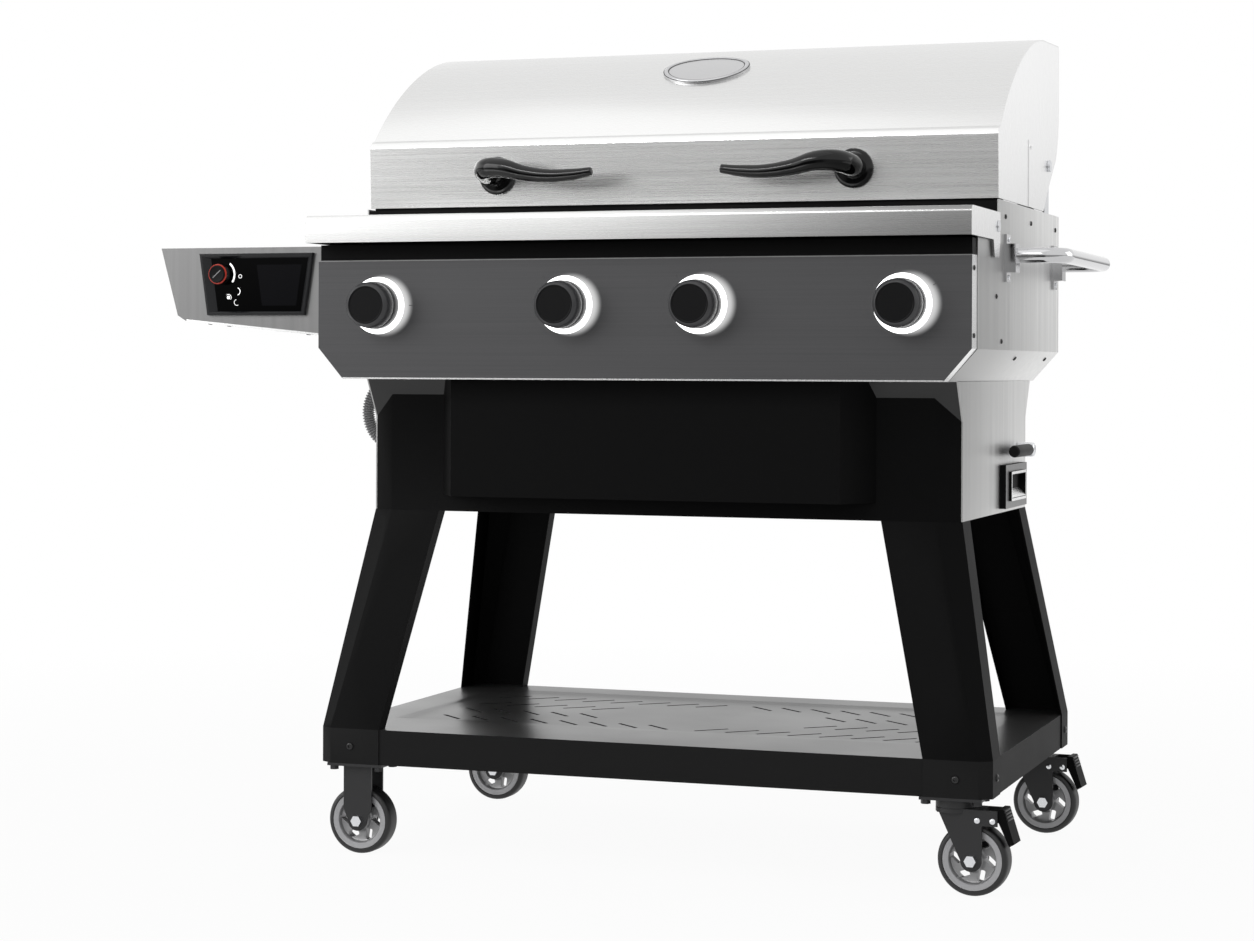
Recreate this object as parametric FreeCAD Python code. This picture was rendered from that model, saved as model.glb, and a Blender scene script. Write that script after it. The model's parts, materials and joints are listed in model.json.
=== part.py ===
import FreeCAD, Part
import math
import os

# A pellet grill on a wheeled cart, in millimetres, +Z up.
# While it is modelled, x = 0 is the middle of the body, y = 0 the face of the control panel and z = 0 the
# floor. The finished pieces are moved so that the origin is at the middle of the whole footprint.

Vector = FreeCAD.Vector
X_AXIS = Vector(1, 0, 0)
Y_AXIS = Vector(0, 1, 0)
Z_AXIS = Vector(0, 0, 1)

# Sheet metal and fits
SHEET = 2.0
RUNNING_FIT = 0.05
SEAT_GAP = 0.3
SWING_GAP = 2.0

# Upper body
BODY_HALF_WIDTH = 488.0
BODY_BOTTOM = 707.0
BODY_HEIGHT = 258.0
BODY_REAR = 642.0
BODY_SLOPE_WIDTH = 40.0
BODY_SLOPE_HEIGHT = 45.0
PANEL_DEPTH = 33.0
PANEL_INSET = 1.0

# Hopper lid, the long ledge in front of the main lid
HOPPER_LID_OVERHANG = 5.0
HOPPER_LID_FRONT = -32.0
HOPPER_LID_REAR = 160.0
HOPPER_LID_DROP = 20.0
HOPPER_LID_HEIGHT = 40.0
HOPPER_LID_NOSE = 9.0
HOPPER_HINGE_BACK = 15.0
HOPPER_HINGE_DROP = 20.0
HOPPER_EAR_DROP = 24.0
HOPPER_EAR_WIDTH = 46.0
HOPPER_EAR_SLANT = 8.0
HINGE_PIN_RADIUS = 4.0
STRIP_SETBACK = 6.0
STRIP_DEPTH = 24.0
STRIP_HEIGHT = 25.0

# Main lid
LID_SIDE_INSET = 2.0
LID_FRONT = 180.0
LID_BAND_LEAN = 4.0
LID_BAND_HEIGHT = 91.0
LID_CREASE_DEPTH = 14.0
LID_CREASE_HEIGHT = 12.0
LID_CREASE_MIDDLE = (4.2, 7.7)
LID_DEPTH = 470.0
LID_HEIGHT = 267.0
LID_CORNER = 8.0
LID_REAR_DROP = 104.0
LID_TAIL_DEPTH = 26.0
LID_TAIL_HEIGHT = 79.0
LID_TAIL_MIDDLE = (7.0, 43.5)
LID_PIVOT_Y = 560.0
LID_PIVOT_RISE = 72.0
LID_PIVOT_RADIUS = 5.0
PIVOT_HEAD_RADIUS = 9.0
PIVOT_HEAD_HEIGHT = 4.0
LID_BRACKET_HALF_WIDTH = 18.0
LID_BRACKET_THICKNESS = 3.0
LID_BRACKET_FOOT = 55.0
LID_EAR_DROP = 37.0
LID_STRAP_Y = 400.0
LID_STRAP_WIDTH = 32.0
LID_STRAP_HEIGHT = 100.0
LID_STRAP_THICKNESS = 1.0

# The lid's side outline above the crease: distance behind the lid's front, and below its top
LID_BROW = (110.5, 83.3)
LID_SHOULDER = (220.0, 29.9)
LID_CROWN = (290.0, 11.0)
LID_RIDGE = (365.0, 4.0)

# Horn handles and badge of the main lid
HORN_BOSS_X = 276.0
HORN_RISE = 46.0
HORN_BOSS_RADIUS = 29.0
HORN_BOSS_FACE_RADIUS = 23.0
HORN_BOSS_EDGE = 4.0
HORN_BOSS_HEIGHT = 7.0
HORN_TIP_RADIUS = 7.0

# The line of a horn from its boss to its tip: distance towards the lid's middle, distance out from the lid,
# rise above the boss and radius
HORN_LINE = [
    (0.0, 0.0, 0.0, 16.5),
    (-3.5, 37.5, 2.5, 16.5),
    (8.5, 64.5, 6.3, 16.0),
    (34.2, 75.0, 6.3, 14.5),
    (71.8, 77.3, -2.5, 11.5),
    (107.7, 77.3, -7.0, 10.1),
    (142.0, 75.8, -6.3, 9.0),
    (171.0, 75.0, -2.8, 6.5),
]
BADGE_LENGTH = 135.0
BADGE_WIDTH = 110.0
BADGE_Y = 347.0
BADGE_THICKNESS = 3.0

# Control knobs
KNOB_X_INNER = 100.0
KNOB_X_OUTER = 391.0
KNOB_RAISE = 20.5
KNOB_BASE_RADIUS = 34.5
KNOB_FACE_RADIUS = 27.5
KNOB_BEVEL = 5.0
KNOB_SKIRT = 16.0
KNOB_REACH = 45.0
KNOB_SHAFT_RADIUS = 4.0
KNOB_SHAFT_GRIP = 20.0
LIGHT_RING_RADIUS = 41.5
LIGHT_RING_BORE = 24.0
LIGHT_RING_HEIGHT = 3.0
SWITCH_WIDTH = 34.0
SWITCH_DEPTH = 28.0

# Control box at the left
BOX_WIDTH = 271.0
BOX_LID_GAP = 3.0
BOX_FRONT = 20.0
BOX_DEPTH = 260.0
BOX_LEFT_HEIGHT = 101.0
BOX_LEFT_LEAN = 28.0
BOX_KNUCKLE_WIDTH = 15.0
BOX_KNUCKLE_HEIGHT = 9.0
BOX_RIGHT_HEIGHT = 132.0
BEZEL_TOP_WIDTH = 188.0
BEZEL_BOTTOM_WIDTH = 161.0
BEZEL_HEIGHT = 92.0
BEZEL_THICKNESS = 6.0
BEZEL_RIGHT_MARGIN = 16.0
BEZEL_TOP_MARGIN = 9.0
DISPLAY_WIDTH = 78.0
DISPLAY_HEIGHT = 60.0
DISPLAY_THICKNESS = 1.5
DISPLAY_RIGHT_MARGIN = 22.0
DIAL_RADIUS = 15.0
DIAL_FACE_RADIUS = 12.0
DIAL_SKIRT = 10.5
DIAL_HEIGHT = 15.0
DIAL_SHAFT_RADIUS = 3.0
DIAL_LEFT_MARGIN = 37.0
DIAL_TOP_MARGIN = 31.0

# Side handle at the right
HANDLE_FRONT_Y = 225.0
HANDLE_REAR_Y = 595.0
HANDLE_DROP = 82.0
HANDLE_BAR_RADIUS = 11.0
HANDLE_BAR_OUT = 82.0
HANDLE_BAR_RAISE = 4.0
HANDLE_BEND_RADIUS = 30.0
HANDLE_PLATE_HEIGHT = 68.0
HANDLE_PLATE_WIDTH = 30.0
HANDLE_PLATE_THICKNESS = 4.0
HANDLE_BLOCK_HEIGHT = 41.0
HANDLE_BLOCK_OUT = 13.0
HANDLE_BOLT_SPACING = 54.0

# Lower body
LOWER_STEP = 1.0
LOWER_HEIGHT = 196.0
LOWER_FRONT = 101.0
LOWER_REAR = 597.0
LOWER_CORNER_WIDTH = 36.0
LOWER_CORNER_DEPTH = 20.0
FLARE_REACH = 14.0
FLARE_HEIGHT = 23.0
COVER_HALF_WIDTH = 293.0
COVER_FOOT_HALF_WIDTH = 330.0
COVER_REACH = 60.0
COVER_SILL = 25.0

# Grease drawer and lever at the right of the lower body
DRAWER_FRONT_Y = 380.0
DRAWER_FRONT_WIDTH = 161.0
DRAWER_FRONT_HEIGHT = 65.0
DRAWER_FRONT_THICKNESS = 9.0
DRAWER_FRONT_LIFT = 6.0
DRAWER_BOX_LENGTH = 190.0
DRAWER_BOX_MARGIN = 9.0
DRAWER_LIFT = 4.0
PULL_WIDTH = 104.0
PULL_HEIGHT = 36.0
PULL_DEPTH = 7.0
PULL_RIM = 4.0
LEVER_PIVOT_Y = 515.0
LEVER_CLEARANCE = 20.0
LEVER_GRIP_RADIUS = 9.0
LEVER_GRIP_LENGTH = 110.0
LEVER_STANDOFF = 18.0
LEVER_BOSS_RADIUS = 11.0
LEVER_SHAFT_RADIUS = 5.0
FLAP_LENGTH = 60.0
FLAP_GAP = 6.0
FLAP_WIDTH = 40.0

# Legs, shelf and casters
LEG_TOP_WIDTH = 112.0
LEG_FLANGE = 24.0
LEG_SIDE_FLANGE = 50.0
FOOT_HALF_WIDTH = 506.0
FOOT_WIDTH = 96.0
FOOT_FRONT = 48.0
FOOT_CORNER_WIDTH = 18.0
FOOT_CORNER_DEPTH = 12.0
SHELF_BOTTOM = 136.0
SHELF_HEIGHT = 52.0
SHELF_PAN_HALF_WIDTH = 445.0
SHELF_PAN_FRONT = 187.0
SHELF_PAN_REAR = 585.0
SHELF_PAN_DEPTH = 3.0
SHELF_PAN_SLOPE = 16.0
SHELF_SLOT_LENGTH = 56.0
SHELF_SLOT_WIDTH = 6.0
SHELF_SLOT_ANGLE = 43.0
SHELF_SLOT_FIRST_X = 42.0
SHELF_SLOT_STEP = 48.0
SHELF_SLOT_COLUMNS = 8
SHELF_SLOT_SHORT_SKIP = 3
SHELF_SLOT_FIRST_Y = 249.0
SHELF_SLOT_ROW_STEP = 89.0
SHELF_SLOT_ROWS = 4
GUSSET_LENGTH = 118.0
GUSSET_WIDTH = 92.0
CASTER_INSET_X = 57.0
CASTER_INSET_Y = 33.0
WHEEL_RADIUS = 50.0
WHEEL_WIDTH = 32.0
TYRE_SHOULDER = 5.0
RIM_RADIUS = 42.0
RIM_WALL = 7.0
HUB_RADIUS = 16.0
WEB_THICKNESS = 12.0
SPOKE_HOLES = 6
SPOKE_HOLE_LENGTH = 14.0
SPOKE_HOLE_WIDTH = 10.0
SPOKE_HOLE_TILT = 30.0
AXLE_RADIUS = 5.0
AXLE_NUT_RADIUS = 8.5
AXLE_NUT_HEIGHT = 6.0
FORK_THICKNESS = 3.0
FORK_GAP = 2.5
FORK_END_RADIUS = 15.0
RIGID_FORK_WIDTH = 45.0
RIGID_FORK_WAIST = 18.0
SWIVEL_FORK_REACH = 20.0
CASTER_PLATE_LENGTH = 88.0
CASTER_PLATE_WIDTH = 66.0
CASTER_PLATE_THICKNESS = 4.0
PLATE_NUT_RADIUS = 7.0
PLATE_NUT_HEIGHT = 6.0
PLATE_NUT_MARGIN = 8.0
SWIVEL_RACE_RADIUS = 27.0
SWIVEL_RACE_HEIGHT = 11.0
SWIVEL_GAP = 0.5
SWIVEL_CROWN_HEIGHT = 6.0
KINGPIN_RADIUS = 6.0
CASTER_TRAIL = 28.0
CASTER_TURN = -3.0
PEDAL_PIN_RADIUS = 3.0
PEDAL_PIN_OUT = 58.0
PEDAL_PIN_HEIGHT = 106.0
PEDAL_EAR_MARGIN = 7.0
PEDAL_ARM = 8.0
PEDAL_THICKNESS = 7.0
PEDAL_TOP_RISE = 12.0
PEDAL_TOE_REACH = 15.0
PEDAL_TOE_DROP = 32.0
PEDAL_TOE_THICKNESS = 7.0
PEDAL_TOE_RISE = 4.0

# Pellet feed and fire
BURNER_X = 220.0
BURNER_Y = 400.0
AUGER_RISE = 69.0
AUGER_RADIUS = 20.0
AUGER_SHAFT_RADIUS = 6.0
AUGER_PITCH = 38.0
AUGER_FLIGHT = 2.4
AUGER_TUBE_BORE = 22.0
AUGER_TUBE_WALL = 2.0
POT_RADIUS = 55.0
POT_WALL = 3.0
POT_TOP_GAP = 21.0
POT_FLOOR = 33.0
POT_AIR_HOLES = 12
POT_AIR_HOLE_RADIUS = 3.5
POT_AIR_CIRCLE = 31.0
IGNITER_RADIUS = 5.0
IGNITER_LENGTH = 60.0
IGNITER_HEIGHT = 46.0
HOPPER_SIDE_ROOM = 28.0
HOPPER_FRONT = 54.0
HOPPER_WALL = 1.5
HOPPER_RIM_DROP = 8.0
HOPPER_SHOULDER_DROP = 57.0
HOPPER_TROUGH_DROP = 24.0
HOPPER_TROUGH_HALF_WIDTH = 30.0
MOTOR_WIDTH = 60.0
MOTOR_HEIGHT = 52.0
MOTOR_DEPTH = 44.0
MOTOR_GRIP = 22.0
FIREBOX_WALL_Y = 172.0
FIREBOX_LIP_GAP = 3.0
FIREBOX_LIP_HEIGHT = 20.0
VENT_WALL_Y = 588.0
VENT_WALL_RISE = 60.0
VENT_SLOTS = 16
VENT_SLOT_WIDTH = 40.0
VENT_SLOT_HEIGHT = 8.0
GRATE_DROP = 32.0
GRATE_LEDGE = 18.0
GRATE_THICKNESS = 6.0
GRATE_COUNT = 3
GRATE_GAP = 4.0
GRATE_BAR = 7.0
GRATE_BARS = 16
GRATE_SIDE_GAP = 14.0
DEFLECTOR_SIDE_ROOM = 18.0
DEFLECTOR_DEPTH = 280.0
DEFLECTOR_DROP = 35.0
DEFLECTOR_FALL = 18.0
DEFLECTOR_LEG = 20.0
TRAY_DROP = 48.0
TRAY_RIM = 14.0
TRAY_SIDE_GAP = 8.0
DRAIN_X = 330.0
DRAIN_Y = 460.0
DRAIN_RADIUS = 16.0
BLOWER_RADIUS = 75.0
BLOWER_HEIGHT = 62.0
BLOWER_WALL = 2.0
BLOWER_INLET = 34.0
ROTOR_RADIUS = 58.0
ROTOR_HEIGHT = 34.0
ROTOR_BLADES = 18
ROTOR_BLADE_DEPTH = 15.0
ROTOR_SHAFT_RADIUS = 4.0
INLET_X = -220.0
INLET_WIDTH = 50.0
INLET_HEIGHT = 28.0
INLET_DEPTH = 22.0
INLET_FLANGE = 8.0

# Ribbed conduit hose at the left, in a plane across the grill
HOSE_PLANE_Y = 250.0
HOSE_RADIUS = 10.0
HOSE_BORE = 7.0
HOSE_RIB_DEPTH = 1.2
HOSE_RIB_PITCH = 4.0
HOSE_RIB_FORM = [(0.0, HOSE_RIB_DEPTH), (0.25, 0.0), (0.6, 0.0), (0.85, HOSE_RIB_DEPTH)]
HOSE_RUN_SHARE = 0.45
GLAND_RADIUS = 15.0
GLAND_HEIGHT = 10.0
HOSE_FOOT_DROP = 102.0
HOSE_START_RUN = 36.0
HOSE_END_RUN = 36.0

# The hose's middle points: distance outside the body's side, and below the body's bottom
HOSE_MIDDLE_POINTS = [(35.0, 41.0), (31.0, 76.0)]

# Screws
SCREW_RADIUS = 4.5
SCREW_HEIGHT = 2.5
SCREW_FACE_SHARE = 0.7
SCREW_EDGE_SHARE = 0.5
FOOT_SCREW_RADIUS = 6.5
FOOT_SCREW_HEIGHT = 3.5
FOOT_SCREW_INSET = 32.0
FLANGE_SCREW_Y = 12.0
FLANGE_SCREW_MARGIN = 18.0
BOX_SCREW_MARGIN = 24.0
BOX_SCREW_SHARES = [0.12, 0.26, 0.84, 0.93]
TOP_SCREW_DROP = 22.5
TOP_SCREW_FRONT = 40.5
TOP_SCREW_REAR = 31.5
SIDE_SCREW_SETBACK = 124.0
SIDE_SCREW_STAGGER = 36.0
SIDE_SCREW_LOW = 12.0
SIDE_SCREW_HIGH = 75.0
SLOPE_SCREW_FRONT_Y = 341.0
SLOPE_SCREW_REAR_Y = 578.0
SLOPE_SCREW_SHARE = 0.75

# Places that follow from the sizes above
BODY_TOP = BODY_BOTTOM + BODY_HEIGHT
BODY_INNER = BODY_HALF_WIDTH - SHEET
BODY_SLOPE_FOOT = BODY_HALF_WIDTH - BODY_SLOPE_WIDTH
BODY_SLOPE_TOP = BODY_BOTTOM + BODY_SLOPE_HEIGHT
FLOOR_TOP = BODY_BOTTOM + SHEET
HOPPER_LID_HALF_WIDTH = BODY_HALF_WIDTH + HOPPER_LID_OVERHANG
HOPPER_LID_TOP = BODY_TOP - HOPPER_LID_DROP
HOPPER_LID_BOTTOM = HOPPER_LID_TOP - HOPPER_LID_HEIGHT
PANEL_TOP = HOPPER_LID_BOTTOM - STRIP_HEIGHT
KNOB_HEIGHT = (BODY_BOTTOM + PANEL_TOP) / 2 + KNOB_RAISE
BOX_TOP = HOPPER_LID_BOTTOM - BOX_LID_GAP
HANDLE_HEIGHT = BODY_TOP - HANDLE_DROP
LOWER_HALF_WIDTH = BODY_SLOPE_FOOT + LOWER_STEP
LOWER_BOTTOM = BODY_BOTTOM - LOWER_HEIGHT
LOWER_MIDDLE = (LOWER_FRONT + LOWER_REAR) / 2
FLARE_SLOPE = FLARE_HEIGHT / FLARE_REACH
FLARE_FRONT = LOWER_FRONT - FLARE_REACH
SIDE_FRONT = LOWER_FRONT + LOWER_CORNER_DEPTH
SIDE_FLARE_BOTTOM = BODY_BOTTOM - FLARE_SLOPE * (SIDE_FRONT - FLARE_FRONT)
FOOT_REAR = 2 * LOWER_MIDDLE - FOOT_FRONT
SHELF_TOP = SHELF_BOTTOM + SHELF_HEIGHT
LID_HALF_WIDTH = BODY_HALF_WIDTH - LID_SIDE_INSET
LID_BOTTOM = BODY_TOP + SWING_GAP
LID_TOP = LID_BOTTOM + LID_HEIGHT
LID_REAR = LID_FRONT + LID_DEPTH
LID_PIVOT_Z = LID_BOTTOM + LID_PIVOT_RISE
HORN_HEIGHT = LID_BOTTOM + HORN_RISE
HOPPER_HINGE_Y = HOPPER_LID_REAR - HOPPER_HINGE_BACK
HOPPER_HINGE_Z = HOPPER_LID_TOP - HOPPER_HINGE_DROP
BODY_FRONT_TOP = HOPPER_LID_TOP - SHEET - SWING_GAP
KNOB_CENTRES = [-KNOB_X_OUTER, -KNOB_X_INNER, KNOB_X_INNER, KNOB_X_OUTER]
CASTER_X = FOOT_HALF_WIDTH - CASTER_INSET_X
CASTER_FRONT_Y = FOOT_FRONT + CASTER_INSET_Y
CASTER_REAR_Y = FOOT_REAR - CASTER_INSET_Y
FORK_HALF = WHEEL_WIDTH / 2 + FORK_GAP
LEVER_X = LOWER_HALF_WIDTH + LEVER_STANDOFF
DRAWER_FRONT_BOTTOM = LOWER_BOTTOM + DRAWER_FRONT_LIFT
LEVER_HEIGHT = DRAWER_FRONT_BOTTOM + DRAWER_FRONT_HEIGHT + LEVER_CLEARANCE
BOX_LEFT = -BODY_HALF_WIDTH - BOX_WIDTH
BEZEL_RIGHT = -BODY_HALF_WIDTH - BEZEL_RIGHT_MARGIN
BEZEL_TOP = BOX_TOP - BEZEL_TOP_MARGIN
BEZEL_FACE = BOX_FRONT - BEZEL_THICKNESS
DIAL_X = BEZEL_RIGHT - BEZEL_TOP_WIDTH + DIAL_LEFT_MARGIN
DIAL_Z = BEZEL_TOP - DIAL_TOP_MARGIN
GRATE_SEAT = BODY_TOP - GRATE_DROP
TRAY_HEIGHT = GRATE_SEAT - TRAY_DROP
TRAY_TOP = TRAY_HEIGHT + TRAY_RIM
DEFLECTOR_HALF_WIDTH = BODY_SLOPE_FOOT - DEFLECTOR_SIDE_ROOM
DEFLECTOR_HEIGHT = TRAY_HEIGHT - DEFLECTOR_DROP
POT_HEIGHT = DEFLECTOR_HEIGHT - POT_TOP_GAP - FLOOR_TOP
VENT_WALL_TOP = BODY_TOP + VENT_WALL_RISE
AUGER_HEIGHT = BODY_BOTTOM + AUGER_RISE
HOPPER_HALF_WIDTH = BODY_HALF_WIDTH - HOPPER_SIDE_ROOM
HOPPER_RIM = HOPPER_LID_BOTTOM - HOPPER_RIM_DROP
HOPPER_SHOULDER = HOPPER_RIM - HOPPER_SHOULDER_DROP
HOPPER_TROUGH = AUGER_HEIGHT - HOPPER_TROUGH_DROP
HOSE_FOOT_HEIGHT = BODY_BOTTOM - HOSE_FOOT_DROP
PEDAL_PIN_X = PEDAL_PIN_OUT - CASTER_TRAIL


# Helpers

def box(x0, x1, y0, y1, z0, z1):
    return Part.makeBox(x1 - x0, y1 - y0, z1 - z0, Vector(x0, y0, z0))


def rod(start, axis, radius, length):
    return Part.makeCylinder(radius, length, start, axis)


def ring(start, axis, outer, inner, length):
    return rod(start, axis, outer, length).cut(rod(start, axis, inner, length))


def place(plane, point, level):
    a, b = point
    if plane == "xy":
        return Vector(a, b, level)
    if plane == "xz":
        return Vector(a, level, b)
    return Vector(level, a, b)


def normal_of(plane):
    return {"xy": Z_AXIS, "xz": Y_AXIS, "yz": X_AXIS}[plane]


def outline_wire(plane, points, level):
    corners = [place(plane, point, level) for point in points]
    return Part.makePolygon(corners + corners[:1])


def prism(plane, points, low, high):
    face = Part.Face(outline_wire(plane, points, low))
    return face.extrude(normal_of(plane) * (high - low))


def meet(point_a, direction_a, point_b, direction_b):
    cross = direction_a[0] * direction_b[1] - direction_a[1] * direction_b[0]
    if abs(cross) < 1e-9:
        return point_b
    gap = (point_b[0] - point_a[0], point_b[1] - point_a[1])
    along = (gap[0] * direction_b[1] - gap[1] * direction_b[0]) / cross
    return (point_a[0] + along * direction_a[0], point_a[1] + along * direction_a[1])


def moved_edges(points, distance):
    """Each edge of a line of points, moved to its left by the distance."""
    edges = []
    for first, second in zip(points, points[1:]):
        length = math.hypot(second[0] - first[0], second[1] - first[1])
        along = ((second[0] - first[0]) / length, (second[1] - first[1]) / length)
        shift = (-along[1] * distance, along[0] * distance)
        start = (first[0] + shift[0], first[1] + shift[1])
        end = (second[0] + shift[0], second[1] + shift[1])
        edges.append((start, end, along))
    return edges


def sheet_outline(points, thickness):
    """The closed section of a bent sheet whose thickness lies to the left of the line of points."""
    edges = moved_edges(points, thickness)
    inner = [edges[0][0]]
    for before, after in zip(edges, edges[1:]):
        inner.append(meet(before[0], before[2], after[0], after[2]))
    inner.append(edges[-1][1])
    return list(points) + inner[::-1]


def inset(points, distance):
    """A closed outline, drawn counterclockwise, moved inwards."""
    edges = moved_edges(points + points[:1], distance)
    pairs = zip(edges[-1:] + edges[:-1], edges)
    return [meet(before[0], before[2], after[0], after[2]) for before, after in pairs]


def mirrored_x(shape):
    return shape.mirror(Vector(0, 0, 0), X_AXIS)


def mirrored_y(shape):
    return shape.mirror(Vector(0, LOWER_MIDDLE, 0), Y_AXIS)


def joined(shapes):
    return shapes[0].fuse(shapes[1:]).removeSplitter()


def group(shapes):
    return Part.makeCompound(shapes)


def nut(start, axis, radius, height):
    corners = []
    for turn in range(7):
        angle = math.radians(60 * turn)
        corners.append(Vector(radius * math.cos(angle), radius * math.sin(angle), 0))
    body = Part.Face(Part.makePolygon(corners)).extrude(Z_AXIS * height)
    body.Placement = FreeCAD.Placement(start, FreeCAD.Rotation(Z_AXIS, axis))
    return body


def turned(points, axis_start, axis):
    """A solid of revolution from (radius, distance along the axis) points."""
    profile = Part.makePolygon([Vector(r, 0, d) for r, d in points + points[:1]])
    body = Part.Face(profile).revolve(Vector(0, 0, 0), Z_AXIS, 360)
    body.Placement = FreeCAD.Placement(axis_start, FreeCAD.Rotation(Z_AXIS, axis))
    return body


# Upper body

def body_outline():
    return [
        (-BODY_SLOPE_FOOT, BODY_BOTTOM),
        (BODY_SLOPE_FOOT, BODY_BOTTOM),
        (BODY_HALF_WIDTH, BODY_SLOPE_TOP),
        (BODY_HALF_WIDTH, BODY_TOP),
        (-BODY_HALF_WIDTH, BODY_TOP),
        (-BODY_HALF_WIDTH, BODY_SLOPE_TOP),
    ]


def control_panel():
    outline = [(x, min(z, PANEL_TOP)) for x, z in inset(body_outline(), PANEL_INSET)]
    outline[0] = (outline[0][0], BODY_BOTTOM)
    outline[1] = (outline[1][0], BODY_BOTTOM)
    tray = prism("xz", outline, 0, PANEL_DEPTH)
    tray = tray.cut(prism("xz", inset(outline, SHEET), SHEET, PANEL_DEPTH))
    for x in KNOB_CENTRES:
        hole = rod(Vector(x, 0, KNOB_HEIGHT), Y_AXIS, KNOB_SHAFT_RADIUS + SEAT_GAP, SHEET)
        tray = tray.cut(hole)
    return tray


def recess_strip():
    bar = box(-BODY_INNER, BODY_INNER, STRIP_SETBACK, STRIP_SETBACK + STRIP_DEPTH,
              PANEL_TOP, HOPPER_LID_BOTTOM - SWING_GAP)
    return bar


def body_side():
    line = [(BODY_SLOPE_FOOT, BODY_BOTTOM), (BODY_HALF_WIDTH, BODY_SLOPE_TOP), (BODY_HALF_WIDTH, BODY_TOP)]
    side = prism("xz", sheet_outline(line, SHEET), PANEL_DEPTH, BODY_REAR)
    front_cut = box(BODY_INNER, BODY_HALF_WIDTH, PANEL_DEPTH, FIREBOX_WALL_Y, BODY_FRONT_TOP, BODY_TOP)
    pin_room = HOPPER_HINGE_DROP - SHEET - SWING_GAP
    pin_seat = rod(Vector(BODY_INNER, HOPPER_HINGE_Y, HOPPER_HINGE_Z), X_AXIS, pin_room, SHEET)
    swing_cut = box(BODY_INNER, BODY_HALF_WIDTH, HOPPER_HINGE_Y, FIREBOX_WALL_Y,
                    HOPPER_HINGE_Z, BODY_FRONT_TOP)
    return side.cut(front_cut).cut(swing_cut.cut(pin_seat))


def rear_panel():
    outline = inset(body_outline(), SHEET)
    outline = [(x, max(z, FLOOR_TOP)) for x, z in outline]
    plate = prism("xz", outline, BODY_REAR - SHEET, BODY_REAR)
    deck = box(-BODY_INNER, BODY_INNER, VENT_WALL_Y, BODY_REAR, BODY_TOP - 2 * SHEET, BODY_TOP - SHEET)
    wall_half = BODY_INNER - LID_BRACKET_FOOT / 2
    wall = box(-wall_half, wall_half, VENT_WALL_Y, VENT_WALL_Y + SHEET, GRATE_SEAT - SHEET, VENT_WALL_TOP)
    ledge = box(-wall_half, wall_half, VENT_WALL_Y - GRATE_LEDGE, VENT_WALL_Y, GRATE_SEAT - SHEET, GRATE_SEAT)
    slots = []
    step = 2 * wall_half / VENT_SLOTS
    middle = (BODY_TOP + VENT_WALL_TOP) / 2
    for count in range(VENT_SLOTS):
        x = -wall_half + (count + 0.5) * step
        for side in (-1, 1):
            z = middle + side * VENT_SLOT_HEIGHT
            slots.append(box(x - VENT_SLOT_WIDTH / 2, x + VENT_SLOT_WIDTH / 2,
                             VENT_WALL_Y, VENT_WALL_Y + SHEET,
                             z - VENT_SLOT_HEIGHT / 2, z + VENT_SLOT_HEIGHT / 2))
    inlet = inlet_box(BODY_REAR - SHEET, BODY_REAR, 0)
    return joined([plate, deck, wall, ledge]).cut(group(slots)).cut(inlet)


def body_floor():
    half = BODY_SLOPE_FOOT - SHEET - SEAT_GAP
    floor = box(-half, half, PANEL_DEPTH + SHEET, BODY_REAR - SHEET, BODY_BOTTOM, FLOOR_TOP)
    drain = rod(Vector(DRAIN_X, DRAIN_Y, BODY_BOTTOM), Z_AXIS, DRAIN_RADIUS, SHEET)
    outlet = rod(Vector(0, BURNER_Y, BODY_BOTTOM), Z_AXIS, BLOWER_INLET, SHEET)
    return floor.cut(drain).cut(outlet)


def firebox_wall():
    half = BODY_SLOPE_FOOT - SHEET - SEAT_GAP
    wide = BODY_INNER - SEAT_GAP
    outline = [(-half, FLOOR_TOP), (half, FLOOR_TOP), (wide, BODY_SLOPE_TOP + SHEET),
               (wide, BODY_TOP - SHEET), (-wide, BODY_TOP - SHEET), (-wide, BODY_SLOPE_TOP + SHEET)]
    wall = prism("xz", outline, FIREBOX_WALL_Y, FIREBOX_WALL_Y + SHEET)
    back = FIREBOX_WALL_Y + SHEET
    ledge = box(-wide, wide, back, back + GRATE_LEDGE, GRATE_SEAT - SHEET, GRATE_SEAT)
    holes = []
    for x in (-BURNER_X, BURNER_X):
        start = Vector(x, FIREBOX_WALL_Y, AUGER_HEIGHT)
        holes.append(rod(start, Y_AXIS, AUGER_TUBE_BORE + AUGER_TUBE_WALL, SHEET))
    lip_y = LID_FRONT + SHEET + FIREBOX_LIP_GAP
    lip_half = LID_HALF_WIDTH - SHEET - FIREBOX_LIP_GAP
    flange = box(-wide, wide, FIREBOX_WALL_Y, lip_y + SHEET, BODY_TOP - 2 * SHEET, BODY_TOP - SHEET)
    lip = box(-lip_half, lip_half, lip_y, lip_y + SHEET, BODY_TOP - SHEET, BODY_TOP + FIREBOX_LIP_HEIGHT)
    return joined([wall, ledge, flange, lip]).cut(group(holes))


# Hopper and pellet feed

def hopper_line():
    right = [
        (BURNER_X - HOPPER_TROUGH_HALF_WIDTH, HOPPER_TROUGH),
        (BURNER_X + HOPPER_TROUGH_HALF_WIDTH, HOPPER_TROUGH),
        (HOPPER_HALF_WIDTH, HOPPER_SHOULDER),
        (HOPPER_HALF_WIDTH, HOPPER_RIM),
    ]
    left = [(-x, z) for x, z in right[::-1]]
    return left + [(0, HOPPER_SHOULDER)] + right


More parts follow.
